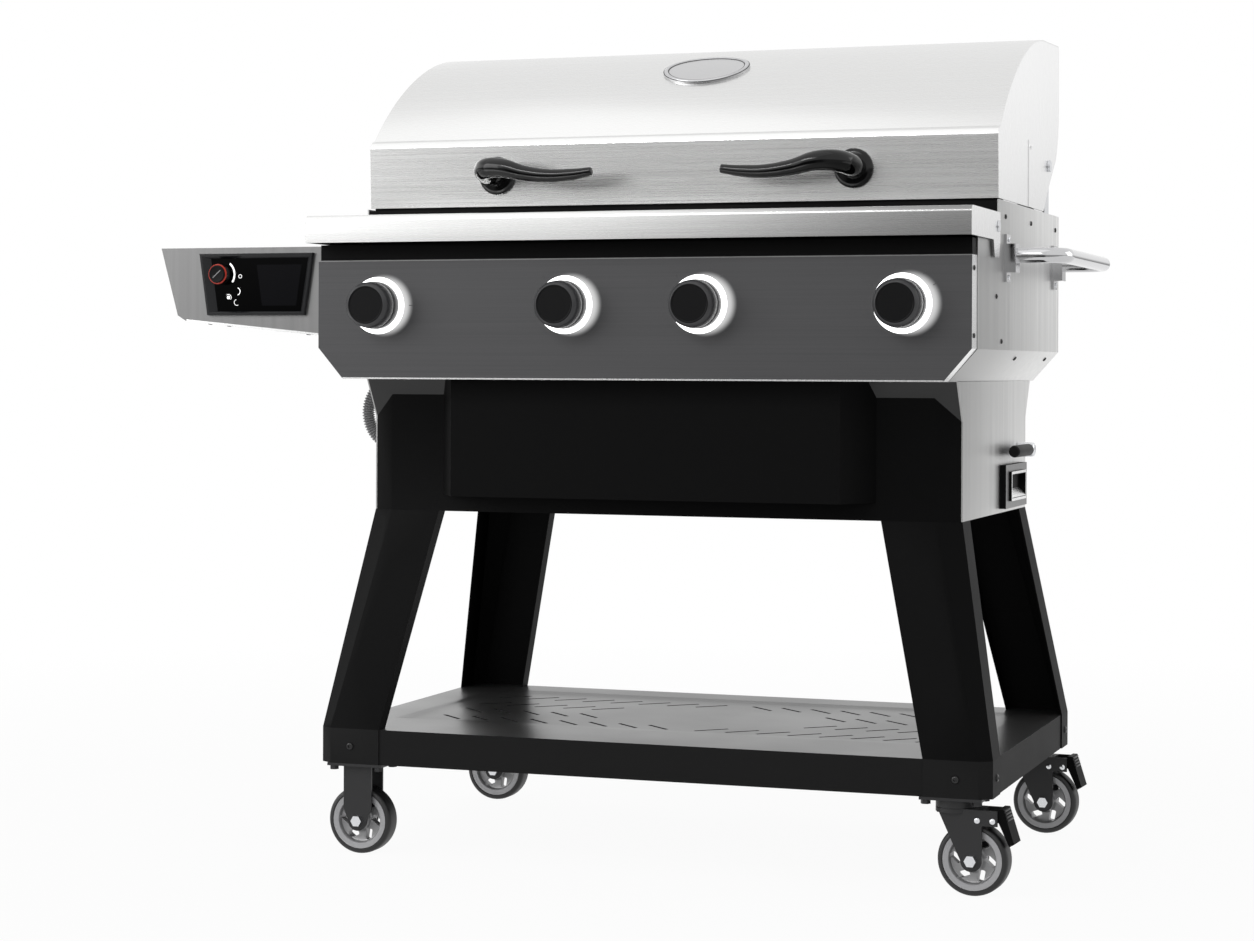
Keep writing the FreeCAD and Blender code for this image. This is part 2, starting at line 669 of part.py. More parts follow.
def hopper_bin():
    line = hopper_line()
    rear = FIREBOX_WALL_Y
    floor = prism("xz", sheet_outline(line, HOPPER_WALL), HOPPER_FRONT, rear)
    front_wall = prism("xz", line, HOPPER_FRONT, HOPPER_FRONT + HOPPER_WALL)
    rear_wall = prism("xz", line, rear - HOPPER_WALL, rear)
    bin_shape = joined([floor, front_wall, rear_wall])
    for x in (-BURNER_X, BURNER_X):
        front = Vector(x, HOPPER_FRONT, AUGER_HEIGHT)
        back = Vector(x, rear - HOPPER_WALL, AUGER_HEIGHT)
        bin_shape = bin_shape.cut(rod(front, Y_AXIS, AUGER_SHAFT_RADIUS + SEAT_GAP, HOPPER_WALL))
        bin_shape = bin_shape.cut(rod(back, Y_AXIS, AUGER_TUBE_BORE, HOPPER_WALL))
    return bin_shape


def auger_end_y():
    return BURNER_Y - POT_RADIUS


def auger_tube(x):
    start = Vector(x, FIREBOX_WALL_Y, AUGER_HEIGHT)
    length = BURNER_Y - FIREBOX_WALL_Y
    tube = ring(start, Y_AXIS, AUGER_TUBE_BORE + AUGER_TUBE_WALL, AUGER_TUBE_BORE, length)
    pot = rod(Vector(x, BURNER_Y, FLOOR_TOP), Z_AXIS, POT_RADIUS, POT_HEIGHT)
    return tube.cut(pot)


def auger(x):
    flight_start = HOPPER_FRONT + HOPPER_WALL + 2 * SWING_GAP
    flight_end = auger_end_y() - 2 * SWING_GAP
    shaft_start = HOPPER_FRONT - MOTOR_GRIP
    shaft = rod(Vector(0, 0, 0), Z_AXIS, AUGER_SHAFT_RADIUS, flight_end - shaft_start)
    inner = AUGER_SHAFT_RADIUS + RUNNING_FIT
    half = AUGER_FLIGHT / 2
    lift = flight_start - shaft_start
    section = Part.makePolygon([
        Vector(inner, 0, -half), Vector(AUGER_RADIUS, 0, -half), Vector(AUGER_RADIUS, 0, half),
        Vector(inner, 0, half), Vector(inner, 0, -half)])
    middle = (inner + AUGER_RADIUS) / 2
    path = Part.makeHelix(AUGER_PITCH, flight_end - flight_start - AUGER_FLIGHT, middle)
    flight = Part.Wire(path.Edges).makePipeShell([section], True, True)
    flight.translate(Vector(0, 0, lift))
    whole = group([shaft, flight])
    turn = FreeCAD.Rotation(X_AXIS, -90)
    whole.Placement = FreeCAD.Placement(Vector(x, shaft_start, AUGER_HEIGHT), turn)
    return whole


def auger_motor(x):
    body = box(x - MOTOR_WIDTH / 2, x + MOTOR_WIDTH / 2, HOPPER_FRONT - MOTOR_DEPTH, HOPPER_FRONT,
               AUGER_HEIGHT - MOTOR_HEIGHT / 2, AUGER_HEIGHT + MOTOR_HEIGHT / 2)
    bore = rod(Vector(x, HOPPER_FRONT - MOTOR_GRIP - SEAT_GAP, AUGER_HEIGHT), Y_AXIS,
               AUGER_SHAFT_RADIUS + RUNNING_FIT, MOTOR_GRIP + SEAT_GAP)
    return body.cut(bore)


def burner_pot(x):
    base = Vector(x, BURNER_Y, FLOOR_TOP)
    pot = rod(base, Z_AXIS, POT_RADIUS, POT_HEIGHT)
    lower = rod(base, Z_AXIS, POT_RADIUS - POT_WALL, POT_FLOOR - POT_WALL)
    upper = rod(base + Z_AXIS * POT_FLOOR, Z_AXIS, POT_RADIUS - POT_WALL, POT_HEIGHT - POT_FLOOR)
    pot = pot.cut(lower).cut(upper)
    mouth = rod(Vector(x, BURNER_Y - POT_RADIUS, AUGER_HEIGHT), Y_AXIS, AUGER_TUBE_BORE, POT_RADIUS)
    pot = pot.cut(mouth)
    for count in range(POT_AIR_HOLES):
        angle = 2 * math.pi * count / POT_AIR_HOLES
        hole_start = base + Vector(POT_AIR_CIRCLE * math.cos(angle), POT_AIR_CIRCLE * math.sin(angle), 0)
        pot = pot.cut(rod(hole_start, Z_AXIS, POT_AIR_HOLE_RADIUS, POT_HEIGHT))
    outward = 1 if x > 0 else -1
    wall_x = x + outward * (POT_RADIUS - POT_WALL * 2)
    igniter_start = Vector(wall_x, BURNER_Y, FLOOR_TOP + IGNITER_HEIGHT)
    pot = pot.cut(rod(igniter_start, X_AXIS * outward, IGNITER_RADIUS, IGNITER_LENGTH))
    igniter = rod(igniter_start, X_AXIS * outward, IGNITER_RADIUS, IGNITER_LENGTH)
    return group([pot, igniter])


def blower_housing():
    base = Vector(0, BURNER_Y, BODY_BOTTOM - BLOWER_HEIGHT)
    inside = base + Z_AXIS * BLOWER_WALL
    drum = rod(base, Z_AXIS, BLOWER_RADIUS, BLOWER_HEIGHT)
    hollow = rod(inside, Z_AXIS, BLOWER_RADIUS - BLOWER_WALL, BLOWER_HEIGHT - 2 * BLOWER_WALL)
    outlet = rod(inside, Z_AXIS, BLOWER_INLET, BLOWER_HEIGHT)
    bearing = rod(base, Z_AXIS, ROTOR_SHAFT_RADIUS + RUNNING_FIT, BLOWER_WALL)
    return drum.cut(hollow).cut(outlet).cut(bearing)


def blower_rotor():
    base_z = BODY_BOTTOM - BLOWER_HEIGHT
    disc_z = base_z + BLOWER_WALL + SWING_GAP
    disc = rod(Vector(0, BURNER_Y, disc_z), Z_AXIS, ROTOR_RADIUS, SHEET)
    shaft = rod(Vector(0, BURNER_Y, base_z), Z_AXIS, ROTOR_SHAFT_RADIUS, BLOWER_WALL + SWING_GAP)
    shapes = [disc, shaft]
    blade_out = ROTOR_RADIUS - SWING_GAP
    for count in range(ROTOR_BLADES):
        blade = box(blade_out - ROTOR_BLADE_DEPTH, blade_out, -SHEET / 2, SHEET / 2,
                    disc_z + SHEET, disc_z + ROTOR_HEIGHT)
        blade.rotate(Vector(0, 0, 0), Z_AXIS, 360 * count / ROTOR_BLADES)
        blade.translate(Vector(0, BURNER_Y, 0))
        shapes.append(blade)
    return joined(shapes)


def heat_deflector():
    near = BURNER_Y - DEFLECTOR_DEPTH / 2
    far = BURNER_Y + DEFLECTOR_DEPTH / 2
    line = [(far, DEFLECTOR_HEIGHT - DEFLECTOR_FALL), (BURNER_Y, DEFLECTOR_HEIGHT),
            (near, DEFLECTOR_HEIGHT - DEFLECTOR_FALL)]
    roof = prism("yz", sheet_outline(line, SHEET), -DEFLECTOR_HALF_WIDTH, DEFLECTOR_HALF_WIDTH)
    shapes = [roof]
    eaves = DEFLECTOR_HEIGHT - DEFLECTOR_FALL
    for x in (-DEFLECTOR_HALF_WIDTH, DEFLECTOR_HALF_WIDTH - SHEET):
        for y in (near, far - DEFLECTOR_LEG):
            shapes.append(box(x, x + SHEET, y, y + DEFLECTOR_LEG, FLOOR_TOP, eaves))
    drain_start = Vector(DRAIN_X, DRAIN_Y, FLOOR_TOP)
    drain = rod(drain_start, Z_AXIS, DRAIN_RADIUS + SWING_GAP, DEFLECTOR_HEIGHT - FLOOR_TOP)
    return joined(shapes).cut(drain)


def drip_tray():
    half = BODY_INNER - TRAY_SIDE_GAP
    near = FIREBOX_WALL_Y + SHEET + SEAT_GAP
    far = BODY_REAR - SHEET - SEAT_GAP
    pan = box(-half, half, near, far, TRAY_HEIGHT, TRAY_TOP)
    pan = pan.cut(box(-half + SHEET, half - SHEET, near + SHEET, far - SHEET, TRAY_HEIGHT + SHEET, TRAY_TOP))
    drain_foot = drawer_top() + 2 * SWING_GAP
    pipe = rod(Vector(DRAIN_X, DRAIN_Y, drain_foot), Z_AXIS, DRAIN_RADIUS, TRAY_HEIGHT - drain_foot)
    bore = rod(Vector(DRAIN_X, DRAIN_Y, drain_foot), Z_AXIS, DRAIN_RADIUS - SHEET, TRAY_TOP - drain_foot)
    return joined([pan, pipe]).cut(bore)


def cooking_grate(count):
    near = FIREBOX_WALL_Y + SHEET + SEAT_GAP
    far = VENT_WALL_Y - SEAT_GAP
    total = 2 * (BODY_INNER - GRATE_SIDE_GAP)
    width = (total - GRATE_GAP * (GRATE_COUNT - 1)) / GRATE_COUNT
    left = -total / 2 + count * (width + GRATE_GAP)
    plate = box(left, left + width, near, far, GRATE_SEAT, GRATE_SEAT + GRATE_THICKNESS)
    slot_width = (width - GRATE_BAR * (GRATE_BARS + 1)) / GRATE_BARS
    middle = (near + far) / 2
    front_row = (near + 2 * GRATE_BAR, middle - GRATE_BAR / 2)
    rear_row = (middle + GRATE_BAR / 2, far - 2 * GRATE_BAR)
    slots = []
    for bar in range(GRATE_BARS):
        x = left + GRATE_BAR + bar * (slot_width + GRATE_BAR)
        for y0, y1 in (front_row, rear_row):
            slots.append(box(x, x + slot_width, y0, y1, GRATE_SEAT, GRATE_SEAT + GRATE_THICKNESS))
    return plate.cut(group(slots))


def inlet_box(near, far, grow):
    z = (BODY_SLOPE_TOP + GRATE_SEAT) / 2
    return box(INLET_X - INLET_WIDTH / 2 - grow, INLET_X + INLET_WIDTH / 2 + grow, near, far,
               z - INLET_HEIGHT / 2 - grow, z + INLET_HEIGHT / 2 + grow)


def power_inlet():
    body = inlet_box(BODY_REAR - INLET_DEPTH, BODY_REAR, 0)
    flange = inlet_box(BODY_REAR, BODY_REAR + SHEET, INLET_FLANGE)
    pocket = inlet_box(BODY_REAR - INLET_DEPTH + SHEET, BODY_REAR + SHEET, -INLET_FLANGE / 2)
    return joined([body, flange]).cut(pocket)


# Hopper lid

def hopper_lid():
    nose = HOPPER_LID_NOSE
    front = HOPPER_LID_FRONT
    top = HOPPER_LID_TOP
    bend = nose * (1 - math.sqrt(0.5))
    points = {
        "foot": Vector(0, front, HOPPER_LID_BOTTOM),
        "nose_low": Vector(0, front, top - nose),
        "nose_middle": Vector(0, front + bend, top - bend),
        "nose_high": Vector(0, front + nose, top),
        "back": Vector(0, HOPPER_LID_REAR, top),
    }
    line = Part.Wire([
        Part.LineSegment(points["foot"], points["nose_low"]).toShape(),
        Part.Arc(points["nose_low"], points["nose_middle"], points["nose_high"]).toShape(),
        Part.LineSegment(points["nose_high"], points["back"]).toShape(),
    ])
    half = HOPPER_LID_HALF_WIDTH
    section = line.makeOffset2D(SHEET, 0, True, True)
    section.translate(Vector(-half, 0, 0))
    skin = section.extrude(X_AXIS * (2 * half))
    closing = [
        Part.LineSegment(points["back"], Vector(0, HOPPER_LID_REAR, HOPPER_LID_BOTTOM)).toShape(),
        Part.LineSegment(Vector(0, HOPPER_LID_REAR, HOPPER_LID_BOTTOM), points["foot"]).toShape(),
    ]
    end_face = Part.Face(Part.Wire(line.Edges + closing))
    end_face.translate(Vector(-half, 0, 0))
    end_plate = end_face.extrude(X_AXIS * SHEET)
    ear_front = HOPPER_LID_REAR - HOPPER_EAR_WIDTH
    ear_bottom = HOPPER_LID_BOTTOM - HOPPER_EAR_DROP
    ear_outline = [
        (ear_front, HOPPER_LID_BOTTOM), (ear_front + HOPPER_EAR_SLANT, ear_bottom),
        (HOPPER_LID_REAR - HOPPER_EAR_SLANT, ear_bottom), (HOPPER_LID_REAR, HOPPER_LID_BOTTOM)]
    ear = prism("yz", ear_outline, half - SHEET, half)
    corner = HOPPER_HINGE_BACK
    box_clearance = box(-half, 0, HOPPER_LID_REAR - corner / 2, HOPPER_LID_REAR,
                        HOPPER_LID_BOTTOM, HOPPER_HINGE_Z - corner)
    shapes = [skin, end_plate.cut(box_clearance), mirrored_x(end_plate), ear]
    hole_start = Vector(-half, HOPPER_HINGE_Y, HOPPER_HINGE_Z)
    hole = rod(hole_start, X_AXIS, HINGE_PIN_RADIUS + RUNNING_FIT, 2 * half)
    return joined(shapes).cut(hole)


def hopper_hinge_pin():
    start = Vector(BODY_HALF_WIDTH, HOPPER_HINGE_Y, HOPPER_HINGE_Z)
    pin = rod(start, X_AXIS, HINGE_PIN_RADIUS, HOPPER_LID_HALF_WIDTH - BODY_HALF_WIDTH + SEAT_GAP)
    head_start = start + X_AXIS * (HOPPER_LID_HALF_WIDTH - BODY_HALF_WIDTH + SEAT_GAP)
    head = rod(head_start, X_AXIS, 2 * HINGE_PIN_RADIUS, SHEET)
    return joined([pin, head])


# Main lid

def lid_upper_point(place_on_lid):
    back, drop = place_on_lid
    return Vector(0, LID_FRONT + back, LID_TOP - drop)


def lid_points():
    front_top = LID_BOTTOM + LID_BAND_HEIGHT
    crease_y = LID_FRONT - LID_BAND_LEAN
    bend = LID_CORNER * (1 - math.sqrt(0.5))
    tail_top = LID_TOP - LID_REAR_DROP
    return {
        "foot": Vector(0, LID_FRONT, LID_BOTTOM),
        "band_top": Vector(0, crease_y, front_top),
        "crease_middle": Vector(0, crease_y + LID_CREASE_MIDDLE[0], front_top + LID_CREASE_MIDDLE[1]),
        "crease_end": Vector(0, crease_y + LID_CREASE_DEPTH, front_top + LID_CREASE_HEIGHT),
        "brow": lid_upper_point(LID_BROW),
        "shoulder": lid_upper_point(LID_SHOULDER),
        "crown": lid_upper_point(LID_CROWN),
        "ridge": lid_upper_point(LID_RIDGE),
        "corner_start": Vector(0, LID_REAR - LID_CORNER, LID_TOP),
        "corner_middle": Vector(0, LID_REAR - bend, LID_TOP - bend),
        "corner_end": Vector(0, LID_REAR, LID_TOP - LID_CORNER),
        "tail_start": Vector(0, LID_REAR, tail_top),
        "tail_middle": Vector(0, LID_REAR - LID_TAIL_MIDDLE[0], tail_top - LID_TAIL_MIDDLE[1]),
        "tail_end": Vector(0, LID_REAR - LID_TAIL_DEPTH, tail_top - LID_TAIL_HEIGHT),
    }


def lid_edges():
    p = lid_points()
    return [
        Part.LineSegment(p["foot"], p["band_top"]).toShape(),
        Part.Arc(p["band_top"], p["crease_middle"], p["crease_end"]).toShape(),
        Part.Arc(p["crease_end"], p["brow"], p["shoulder"]).toShape(),
        Part.Arc(p["shoulder"], p["crown"], p["ridge"]).toShape(),
        Part.LineSegment(p["ridge"], p["corner_start"]).toShape(),
        Part.Arc(p["corner_start"], p["corner_middle"], p["corner_end"]).toShape(),
        Part.LineSegment(p["corner_end"], p["tail_start"]).toShape(),
        Part.Arc(p["tail_start"], p["tail_middle"], p["tail_end"]).toShape(),
    ]


def lid_layer(offset, half_width):
    section = Part.Wire(lid_edges()).makeOffset2D(offset, 0, True, True)
    section.translate(Vector(-half_width, 0, 0))
    return section.extrude(X_AXIS * (2 * half_width))


def lid_block(x, thickness):
    """The lid's whole side outline, closed along its open underside."""
    p = lid_points()
    ear_low = Vector(0, LID_PIVOT_Y, LID_PIVOT_Z - LID_EAR_DROP)
    heel = Vector(0, LID_PIVOT_Y - LID_EAR_DROP, LID_BOTTOM)
    closing = [
        Part.LineSegment(p["tail_end"], ear_low).toShape(),
        Part.LineSegment(ear_low, heel).toShape(),
        Part.LineSegment(heel, p["foot"]).toShape(),
    ]
    face = Part.Face(Part.Wire(lid_edges() + closing))
    face.translate(Vector(x, 0, 0))
    return face.extrude(X_AXIS * thickness)


def lid_skin():
    return lid_layer(SHEET, LID_HALF_WIDTH)


def lid_end_plate():
    plate = lid_block(LID_HALF_WIDTH - SHEET, SHEET).cut(lid_skin())
    hole = rod(Vector(LID_HALF_WIDTH - SHEET, LID_PIVOT_Y, LID_PIVOT_Z), X_AXIS,
               LID_PIVOT_RADIUS + RUNNING_FIT, SHEET)
    strap = box(LID_HALF_WIDTH, LID_HALF_WIDTH + LID_STRAP_THICKNESS,
                LID_STRAP_Y, LID_STRAP_Y + LID_STRAP_WIDTH, LID_BOTTOM, LID_BOTTOM + LID_STRAP_HEIGHT)
    screw_start = Vector(LID_HALF_WIDTH + LID_STRAP_THICKNESS, LID_STRAP_Y + LID_STRAP_WIDTH / 2,
                         LID_BOTTOM + LID_STRAP_HEIGHT - 2 * SCREW_RADIUS)
    strap_screw = screw(screw_start, X_AXIS, SCREW_RADIUS, SCREW_HEIGHT)
    return joined([plate.cut(hole), strap, strap_screw])


def lid_hinge_bracket():
    outer = LID_HALF_WIDTH - SHEET - SEAT_GAP
    inner = outer - LID_BRACKET_THICKNESS
    half = LID_BRACKET_HALF_WIDTH
    foot_bottom = BODY_TOP - SHEET - LID_BRACKET_FOOT
    arm = box(inner, outer, LID_PIVOT_Y - half, LID_PIVOT_Y + half, foot_bottom, LID_PIVOT_Z)
    crown = rod(Vector(inner, LID_PIVOT_Y, LID_PIVOT_Z), X_AXIS, half, LID_BRACKET_THICKNESS)
    foot = box(inner, BODY_INNER, LID_PIVOT_Y - half, LID_PIVOT_Y + half, foot_bottom, BODY_TOP - SHEET)
    reach = LID_HALF_WIDTH + SEAT_GAP - inner
    pin = rod(Vector(inner, LID_PIVOT_Y, LID_PIVOT_Z), X_AXIS, LID_PIVOT_RADIUS, reach)
    head = rod(Vector(inner + reach, LID_PIVOT_Y, LID_PIVOT_Z), X_AXIS, PIVOT_HEAD_RADIUS, PIVOT_HEAD_HEIGHT)
    return joined([arm, crown, foot, pin, head])


def horn_handle():
    """The right-hand horn: a round boss and a tapering bar that curls towards the middle of the lid."""
    band_y = LID_FRONT - LID_BAND_LEAN * (HORN_HEIGHT - LID_BOTTOM) / LID_BAND_HEIGHT
    centres = []
    for inward, out, rise, radius in HORN_LINE:
        centres.append(Vector(HORN_BOSS_X - inward, band_y - out, HORN_HEIGHT + rise))
    circles = []
    for count, centre in enumerate(centres):
        before = centres[max(count - 1, 0)]
        after = centres[min(count + 1, len(centres) - 1)]
        axis = -Y_AXIS if count == 0 else after - before
        circle = Part.Circle(centre, axis, HORN_LINE[count][3])
        circle.XAxis = Z_AXIS
        circles.append(Part.Wire([circle.toShape()]))
    bar = Part.makeLoft(circles, True, False)
    tip = Part.makeSphere(HORN_TIP_RADIUS, centres[-1])
    boss = turned([(0, 0), (HORN_BOSS_RADIUS, 0), (HORN_BOSS_RADIUS, HORN_BOSS_EDGE),
                   (HORN_BOSS_FACE_RADIUS, HORN_BOSS_HEIGHT), (0, HORN_BOSS_HEIGHT)],
                  Vector(HORN_BOSS_X, band_y, HORN_HEIGHT), -Y_AXIS)
    return joined([boss, bar, tip]).cut(lid_block(0, LID_HALF_WIDTH))


def lid_badge():
    layer = lid_layer(-BADGE_THICKNESS, BADGE_LENGTH)
    p = lid_points()
    slope = math.atan2(p["shoulder"].z - p["brow"].z, p["shoulder"].y - p["brow"].y)
    share = (BADGE_Y - p["brow"].y) / (p["shoulder"].y - p["brow"].y)
    middle = p["brow"] + (p["shoulder"] - p["brow"]) * share
    oval = Part.Ellipse(Vector(0, 0, 0), BADGE_LENGTH / 2, BADGE_WIDTH / 2).toShape()
    cutter = Part.Face(Part.Wire([oval])).extrude(Z_AXIS * BADGE_LENGTH)
    cutter.translate(Vector(0, 0, -BADGE_LENGTH / 2))
    cutter.Placement = FreeCAD.Placement(middle, FreeCAD.Rotation(X_AXIS, math.degrees(slope))).multiply(
        cutter.Placement)
    return layer.common(cutter)


# Knobs, rings and switches

def knob(x):
    start = LIGHT_RING_HEIGHT + SEAT_GAP
    points = [
        (0, start), (KNOB_BASE_RADIUS, start), (KNOB_BASE_RADIUS, start + KNOB_SKIRT),
        (KNOB_FACE_RADIUS + KNOB_BEVEL, KNOB_REACH - KNOB_BEVEL), (KNOB_FACE_RADIUS, KNOB_REACH),
        (0, KNOB_REACH)]
    body = turned(points, Vector(x, 0, KNOB_HEIGHT), -Y_AXIS)
    shaft = rod(Vector(x, -start, KNOB_HEIGHT), Y_AXIS, KNOB_SHAFT_RADIUS, start + SHEET + KNOB_SHAFT_GRIP)
    return joined([body, shaft])


def light_ring(x):
    start = Vector(x, -LIGHT_RING_HEIGHT, KNOB_HEIGHT)
    return ring(start, Y_AXIS, LIGHT_RING_RADIUS, LIGHT_RING_BORE, LIGHT_RING_HEIGHT)


def rotary_switch(x):
    half = SWITCH_WIDTH / 2
    body = box(x - half, x + half, SHEET, SHEET + SWITCH_DEPTH, KNOB_HEIGHT - half, KNOB_HEIGHT + half)
    bore_start = Vector(x, SHEET, KNOB_HEIGHT)
    bore = rod(bore_start, Y_AXIS, KNOB_SHAFT_RADIUS + RUNNING_FIT, KNOB_SHAFT_GRIP + SEAT_GAP)
    return body.cut(bore)


# Control box

def control_box():
    knuckle_x = BOX_LEFT + BOX_LEFT_LEAN
    knuckle_z = BOX_TOP - BOX_LEFT_HEIGHT
    right = -BODY_HALF_WIDTH
    outline = [
        (BOX_LEFT, BOX_TOP), (knuckle_x, knuckle_z),
        (knuckle_x + BOX_KNUCKLE_WIDTH, knuckle_z - BOX_KNUCKLE_HEIGHT),
        (right, BOX_TOP - BOX_RIGHT_HEIGHT), (right, BOX_TOP)]
    shell = prism("xz", outline, BOX_FRONT, BOX_FRONT + BOX_DEPTH)
    hollow = inset(outline, SHEET)
    hollow[3] = (right, hollow[3][1])
    hollow[4] = (right, hollow[4][1])
    shell = shell.cut(prism("xz", hollow, BOX_FRONT + SHEET, BOX_FRONT + BOX_DEPTH - SHEET))
    bore = rod(Vector(DIAL_X, BOX_FRONT, DIAL_Z), Y_AXIS, DIAL_SHAFT_RADIUS + RUNNING_FIT, SHEET)
    return shell.cut(bore)


def control_bezel():
    side = (BEZEL_TOP_WIDTH - BEZEL_BOTTOM_WIDTH) / 2
    left = BEZEL_RIGHT - BEZEL_TOP_WIDTH
    bottom = BEZEL_TOP - BEZEL_HEIGHT
    outline = [(left, BEZEL_TOP), (left + side, bottom), (BEZEL_RIGHT - side, bottom),
               (BEZEL_RIGHT, BEZEL_TOP)]
    plate = prism("xz", outline, BEZEL_FACE, BOX_FRONT)
    plate = plate.cut(display_block(BEZEL_FACE, BEZEL_FACE + DISPLAY_THICKNESS))
    bore = rod(Vector(DIAL_X, BEZEL_FACE, DIAL_Z), Y_AXIS, DIAL_SHAFT_RADIUS + RUNNING_FIT, BEZEL_THICKNESS)
    return plate.cut(bore)


def display_block(near, far):
    right = BEZEL_RIGHT - DISPLAY_RIGHT_MARGIN
    middle = BEZEL_TOP - BEZEL_HEIGHT / 2
    return box(right - DISPLAY_WIDTH, right, near, far,
               middle - DISPLAY_HEIGHT / 2, middle + DISPLAY_HEIGHT / 2)


def display_glass():
    return display_block(BEZEL_FACE, BEZEL_FACE + DISPLAY_THICKNESS)


def dial_knob():
    start = BEZEL_FACE - SEAT_GAP
    points = [(0, 0), (DIAL_RADIUS, 0), (DIAL_RADIUS, DIAL_SKIRT), (DIAL_FACE_RADIUS, DIAL_HEIGHT),
              (0, DIAL_HEIGHT)]
    body = turned(points, Vector(DIAL_X, start, DIAL_Z), -Y_AXIS)
    shaft = rod(Vector(DIAL_X, start, DIAL_Z), Y_AXIS, DIAL_SHAFT_RADIUS, SEAT_GAP + BEZEL_THICKNESS + SHEET)
    return joined([body, shaft])


# Side handle

def side_handle_bracket(y):
    half = HANDLE_PLATE_WIDTH / 2
    plate = box(BODY_HALF_WIDTH, BODY_HALF_WIDTH + HANDLE_PLATE_THICKNESS, y - half, y + half,
                HANDLE_HEIGHT - HANDLE_PLATE_HEIGHT / 2, HANDLE_HEIGHT + HANDLE_PLATE_HEIGHT / 2)
    block = box(BODY_HALF_WIDTH + HANDLE_PLATE_THICKNESS,
                BODY_HALF_WIDTH + HANDLE_PLATE_THICKNESS + HANDLE_BLOCK_OUT, y - half, y + half,
                HANDLE_HEIGHT - HANDLE_BLOCK_HEIGHT / 2, HANDLE_HEIGHT + HANDLE_BLOCK_HEIGHT / 2)
    return joined([plate, block])


def side_handle_bar():
    start_x = BODY_HALF_WIDTH + HANDLE_PLATE_THICKNESS + HANDLE_BLOCK_OUT
    out_x = BODY_HALF_WIDTH + HANDLE_BAR_OUT
    bend = HANDLE_BEND_RADIUS
    short = bend * (1 - math.sqrt(0.5))
    near = HANDLE_FRONT_Y
    far = HANDLE_REAR_Y
    level = HANDLE_HEIGHT + HANDLE_BAR_RAISE
    corners = [
        Vector(start_x, near, level), Vector(out_x - bend, near, level),
        Vector(out_x - short, near + short, level), Vector(out_x, near + bend, level),
        Vector(out_x, far - bend, level), Vector(out_x - short, far - short, level),
        Vector(out_x - bend, far, level), Vector(start_x, far, level)]
    path = Part.Wire([
        Part.LineSegment(corners[0], corners[1]).toShape(),
        Part.Arc(corners[1], corners[2], corners[3]).toShape(),
        Part.LineSegment(corners[3], corners[4]).toShape(),
        Part.Arc(corners[4], corners[5], corners[6]).toShape(),
        Part.LineSegment(corners[6], corners[7]).toShape()])
    section = Part.Wire([Part.makeCircle(HANDLE_BAR_RADIUS, corners[0], X_AXIS)])
    return path.makePipeShell([section], True, False)


# Lower body

def lower_block(shrink):
    """The lower body's outer solid; shrink moves its front in and its open sides past the walls."""
    half = LOWER_HALF_WIDTH - SHEET
    corner_x = LOWER_HALF_WIDTH - LOWER_CORNER_WIDTH
    outline = [(-half - shrink, SIDE_FRONT + shrink), (-corner_x, LOWER_FRONT + shrink),
               (corner_x, LOWER_FRONT + shrink), (half + shrink, SIDE_FRONT + shrink),
               (half + shrink, LOWER_MIDDLE), (-half - shrink, LOWER_MIDDLE)]
    block = prism("xy", outline, LOWER_BOTTOM, BODY_BOTTOM)
    lean = shrink * math.hypot(1, FLARE_SLOPE) / FLARE_SLOPE
    flare = [(FLARE_FRONT + lean, BODY_BOTTOM), (SIDE_FRONT + lean, SIDE_FLARE_BOTTOM),
             (SIDE_FRONT + 2 * SHEET + lean, SIDE_FLARE_BOTTOM), (SIDE_FRONT + 2 * SHEET + lean, BODY_BOTTOM)]
    return block.fuse(prism("yz", flare, -half, half))


def lower_front():
    half = LOWER_HALF_WIDTH - SHEET
    shell = lower_block(0).cut(lower_block(SHEET))
    keep = box(-half, half, 0, SIDE_FRONT, LOWER_BOTTOM, BODY_BOTTOM)
    return shell.common(keep)


def lower_side(with_drawer):
    line = [(SIDE_FRONT, LOWER_BOTTOM), (2 * LOWER_MIDDLE - SIDE_FRONT, LOWER_BOTTOM),
            (2 * LOWER_MIDDLE - SIDE_FRONT, SIDE_FLARE_BOTTOM), (2 * LOWER_MIDDLE - FLARE_FRONT, BODY_BOTTOM),
            (FLARE_FRONT, BODY_BOTTOM), (SIDE_FRONT, SIDE_FLARE_BOTTOM)]
    plate = prism("yz", line, LOWER_HALF_WIDTH - SHEET, LOWER_HALF_WIDTH)
    if not with_drawer:
        return mirrored_x(plate)
    near, far = drawer_sides()
    window = box(0, LOWER_HALF_WIDTH, near - SEAT_GAP, far + SEAT_GAP, drawer_bottom() - SEAT_GAP,
                 drawer_top() + SEAT_GAP)
    shaft_start = Vector(0, LEVER_PIVOT_Y, LEVER_HEIGHT)
    shaft = rod(shaft_start, X_AXIS, LEVER_SHAFT_RADIUS + RUNNING_FIT, LOWER_HALF_WIDTH)
    return plate.cut(window).cut(shaft)


def lower_tray():
    half = LOWER_HALF_WIDTH - SHEET
    rear = 2 * LOWER_MIDDLE - SIDE_FRONT
    floor = box(-half, half, SIDE_FRONT, rear, LOWER_BOTTOM, LOWER_BOTTOM + SHEET)
    back = mirrored_y(lower_front())
    return joined([floor, back])


def front_cover():
    face_y = LOWER_FRONT - COVER_REACH
    line = [(-COVER_FOOT_HALF_WIDTH, LOWER_FRONT), (-COVER_HALF_WIDTH, face_y), (COVER_HALF_WIDTH, face_y),
            (COVER_FOOT_HALF_WIDTH, LOWER_FRONT)]
    bottom = LOWER_BOTTOM + COVER_SILL
    shell = prism("xy", sheet_outline(line, SHEET), bottom, BODY_BOTTOM)
    base = prism("xy", line, bottom, bottom + SHEET)
    return joined([shell, base]).cut(lower_block(0))


# Drawer and lever

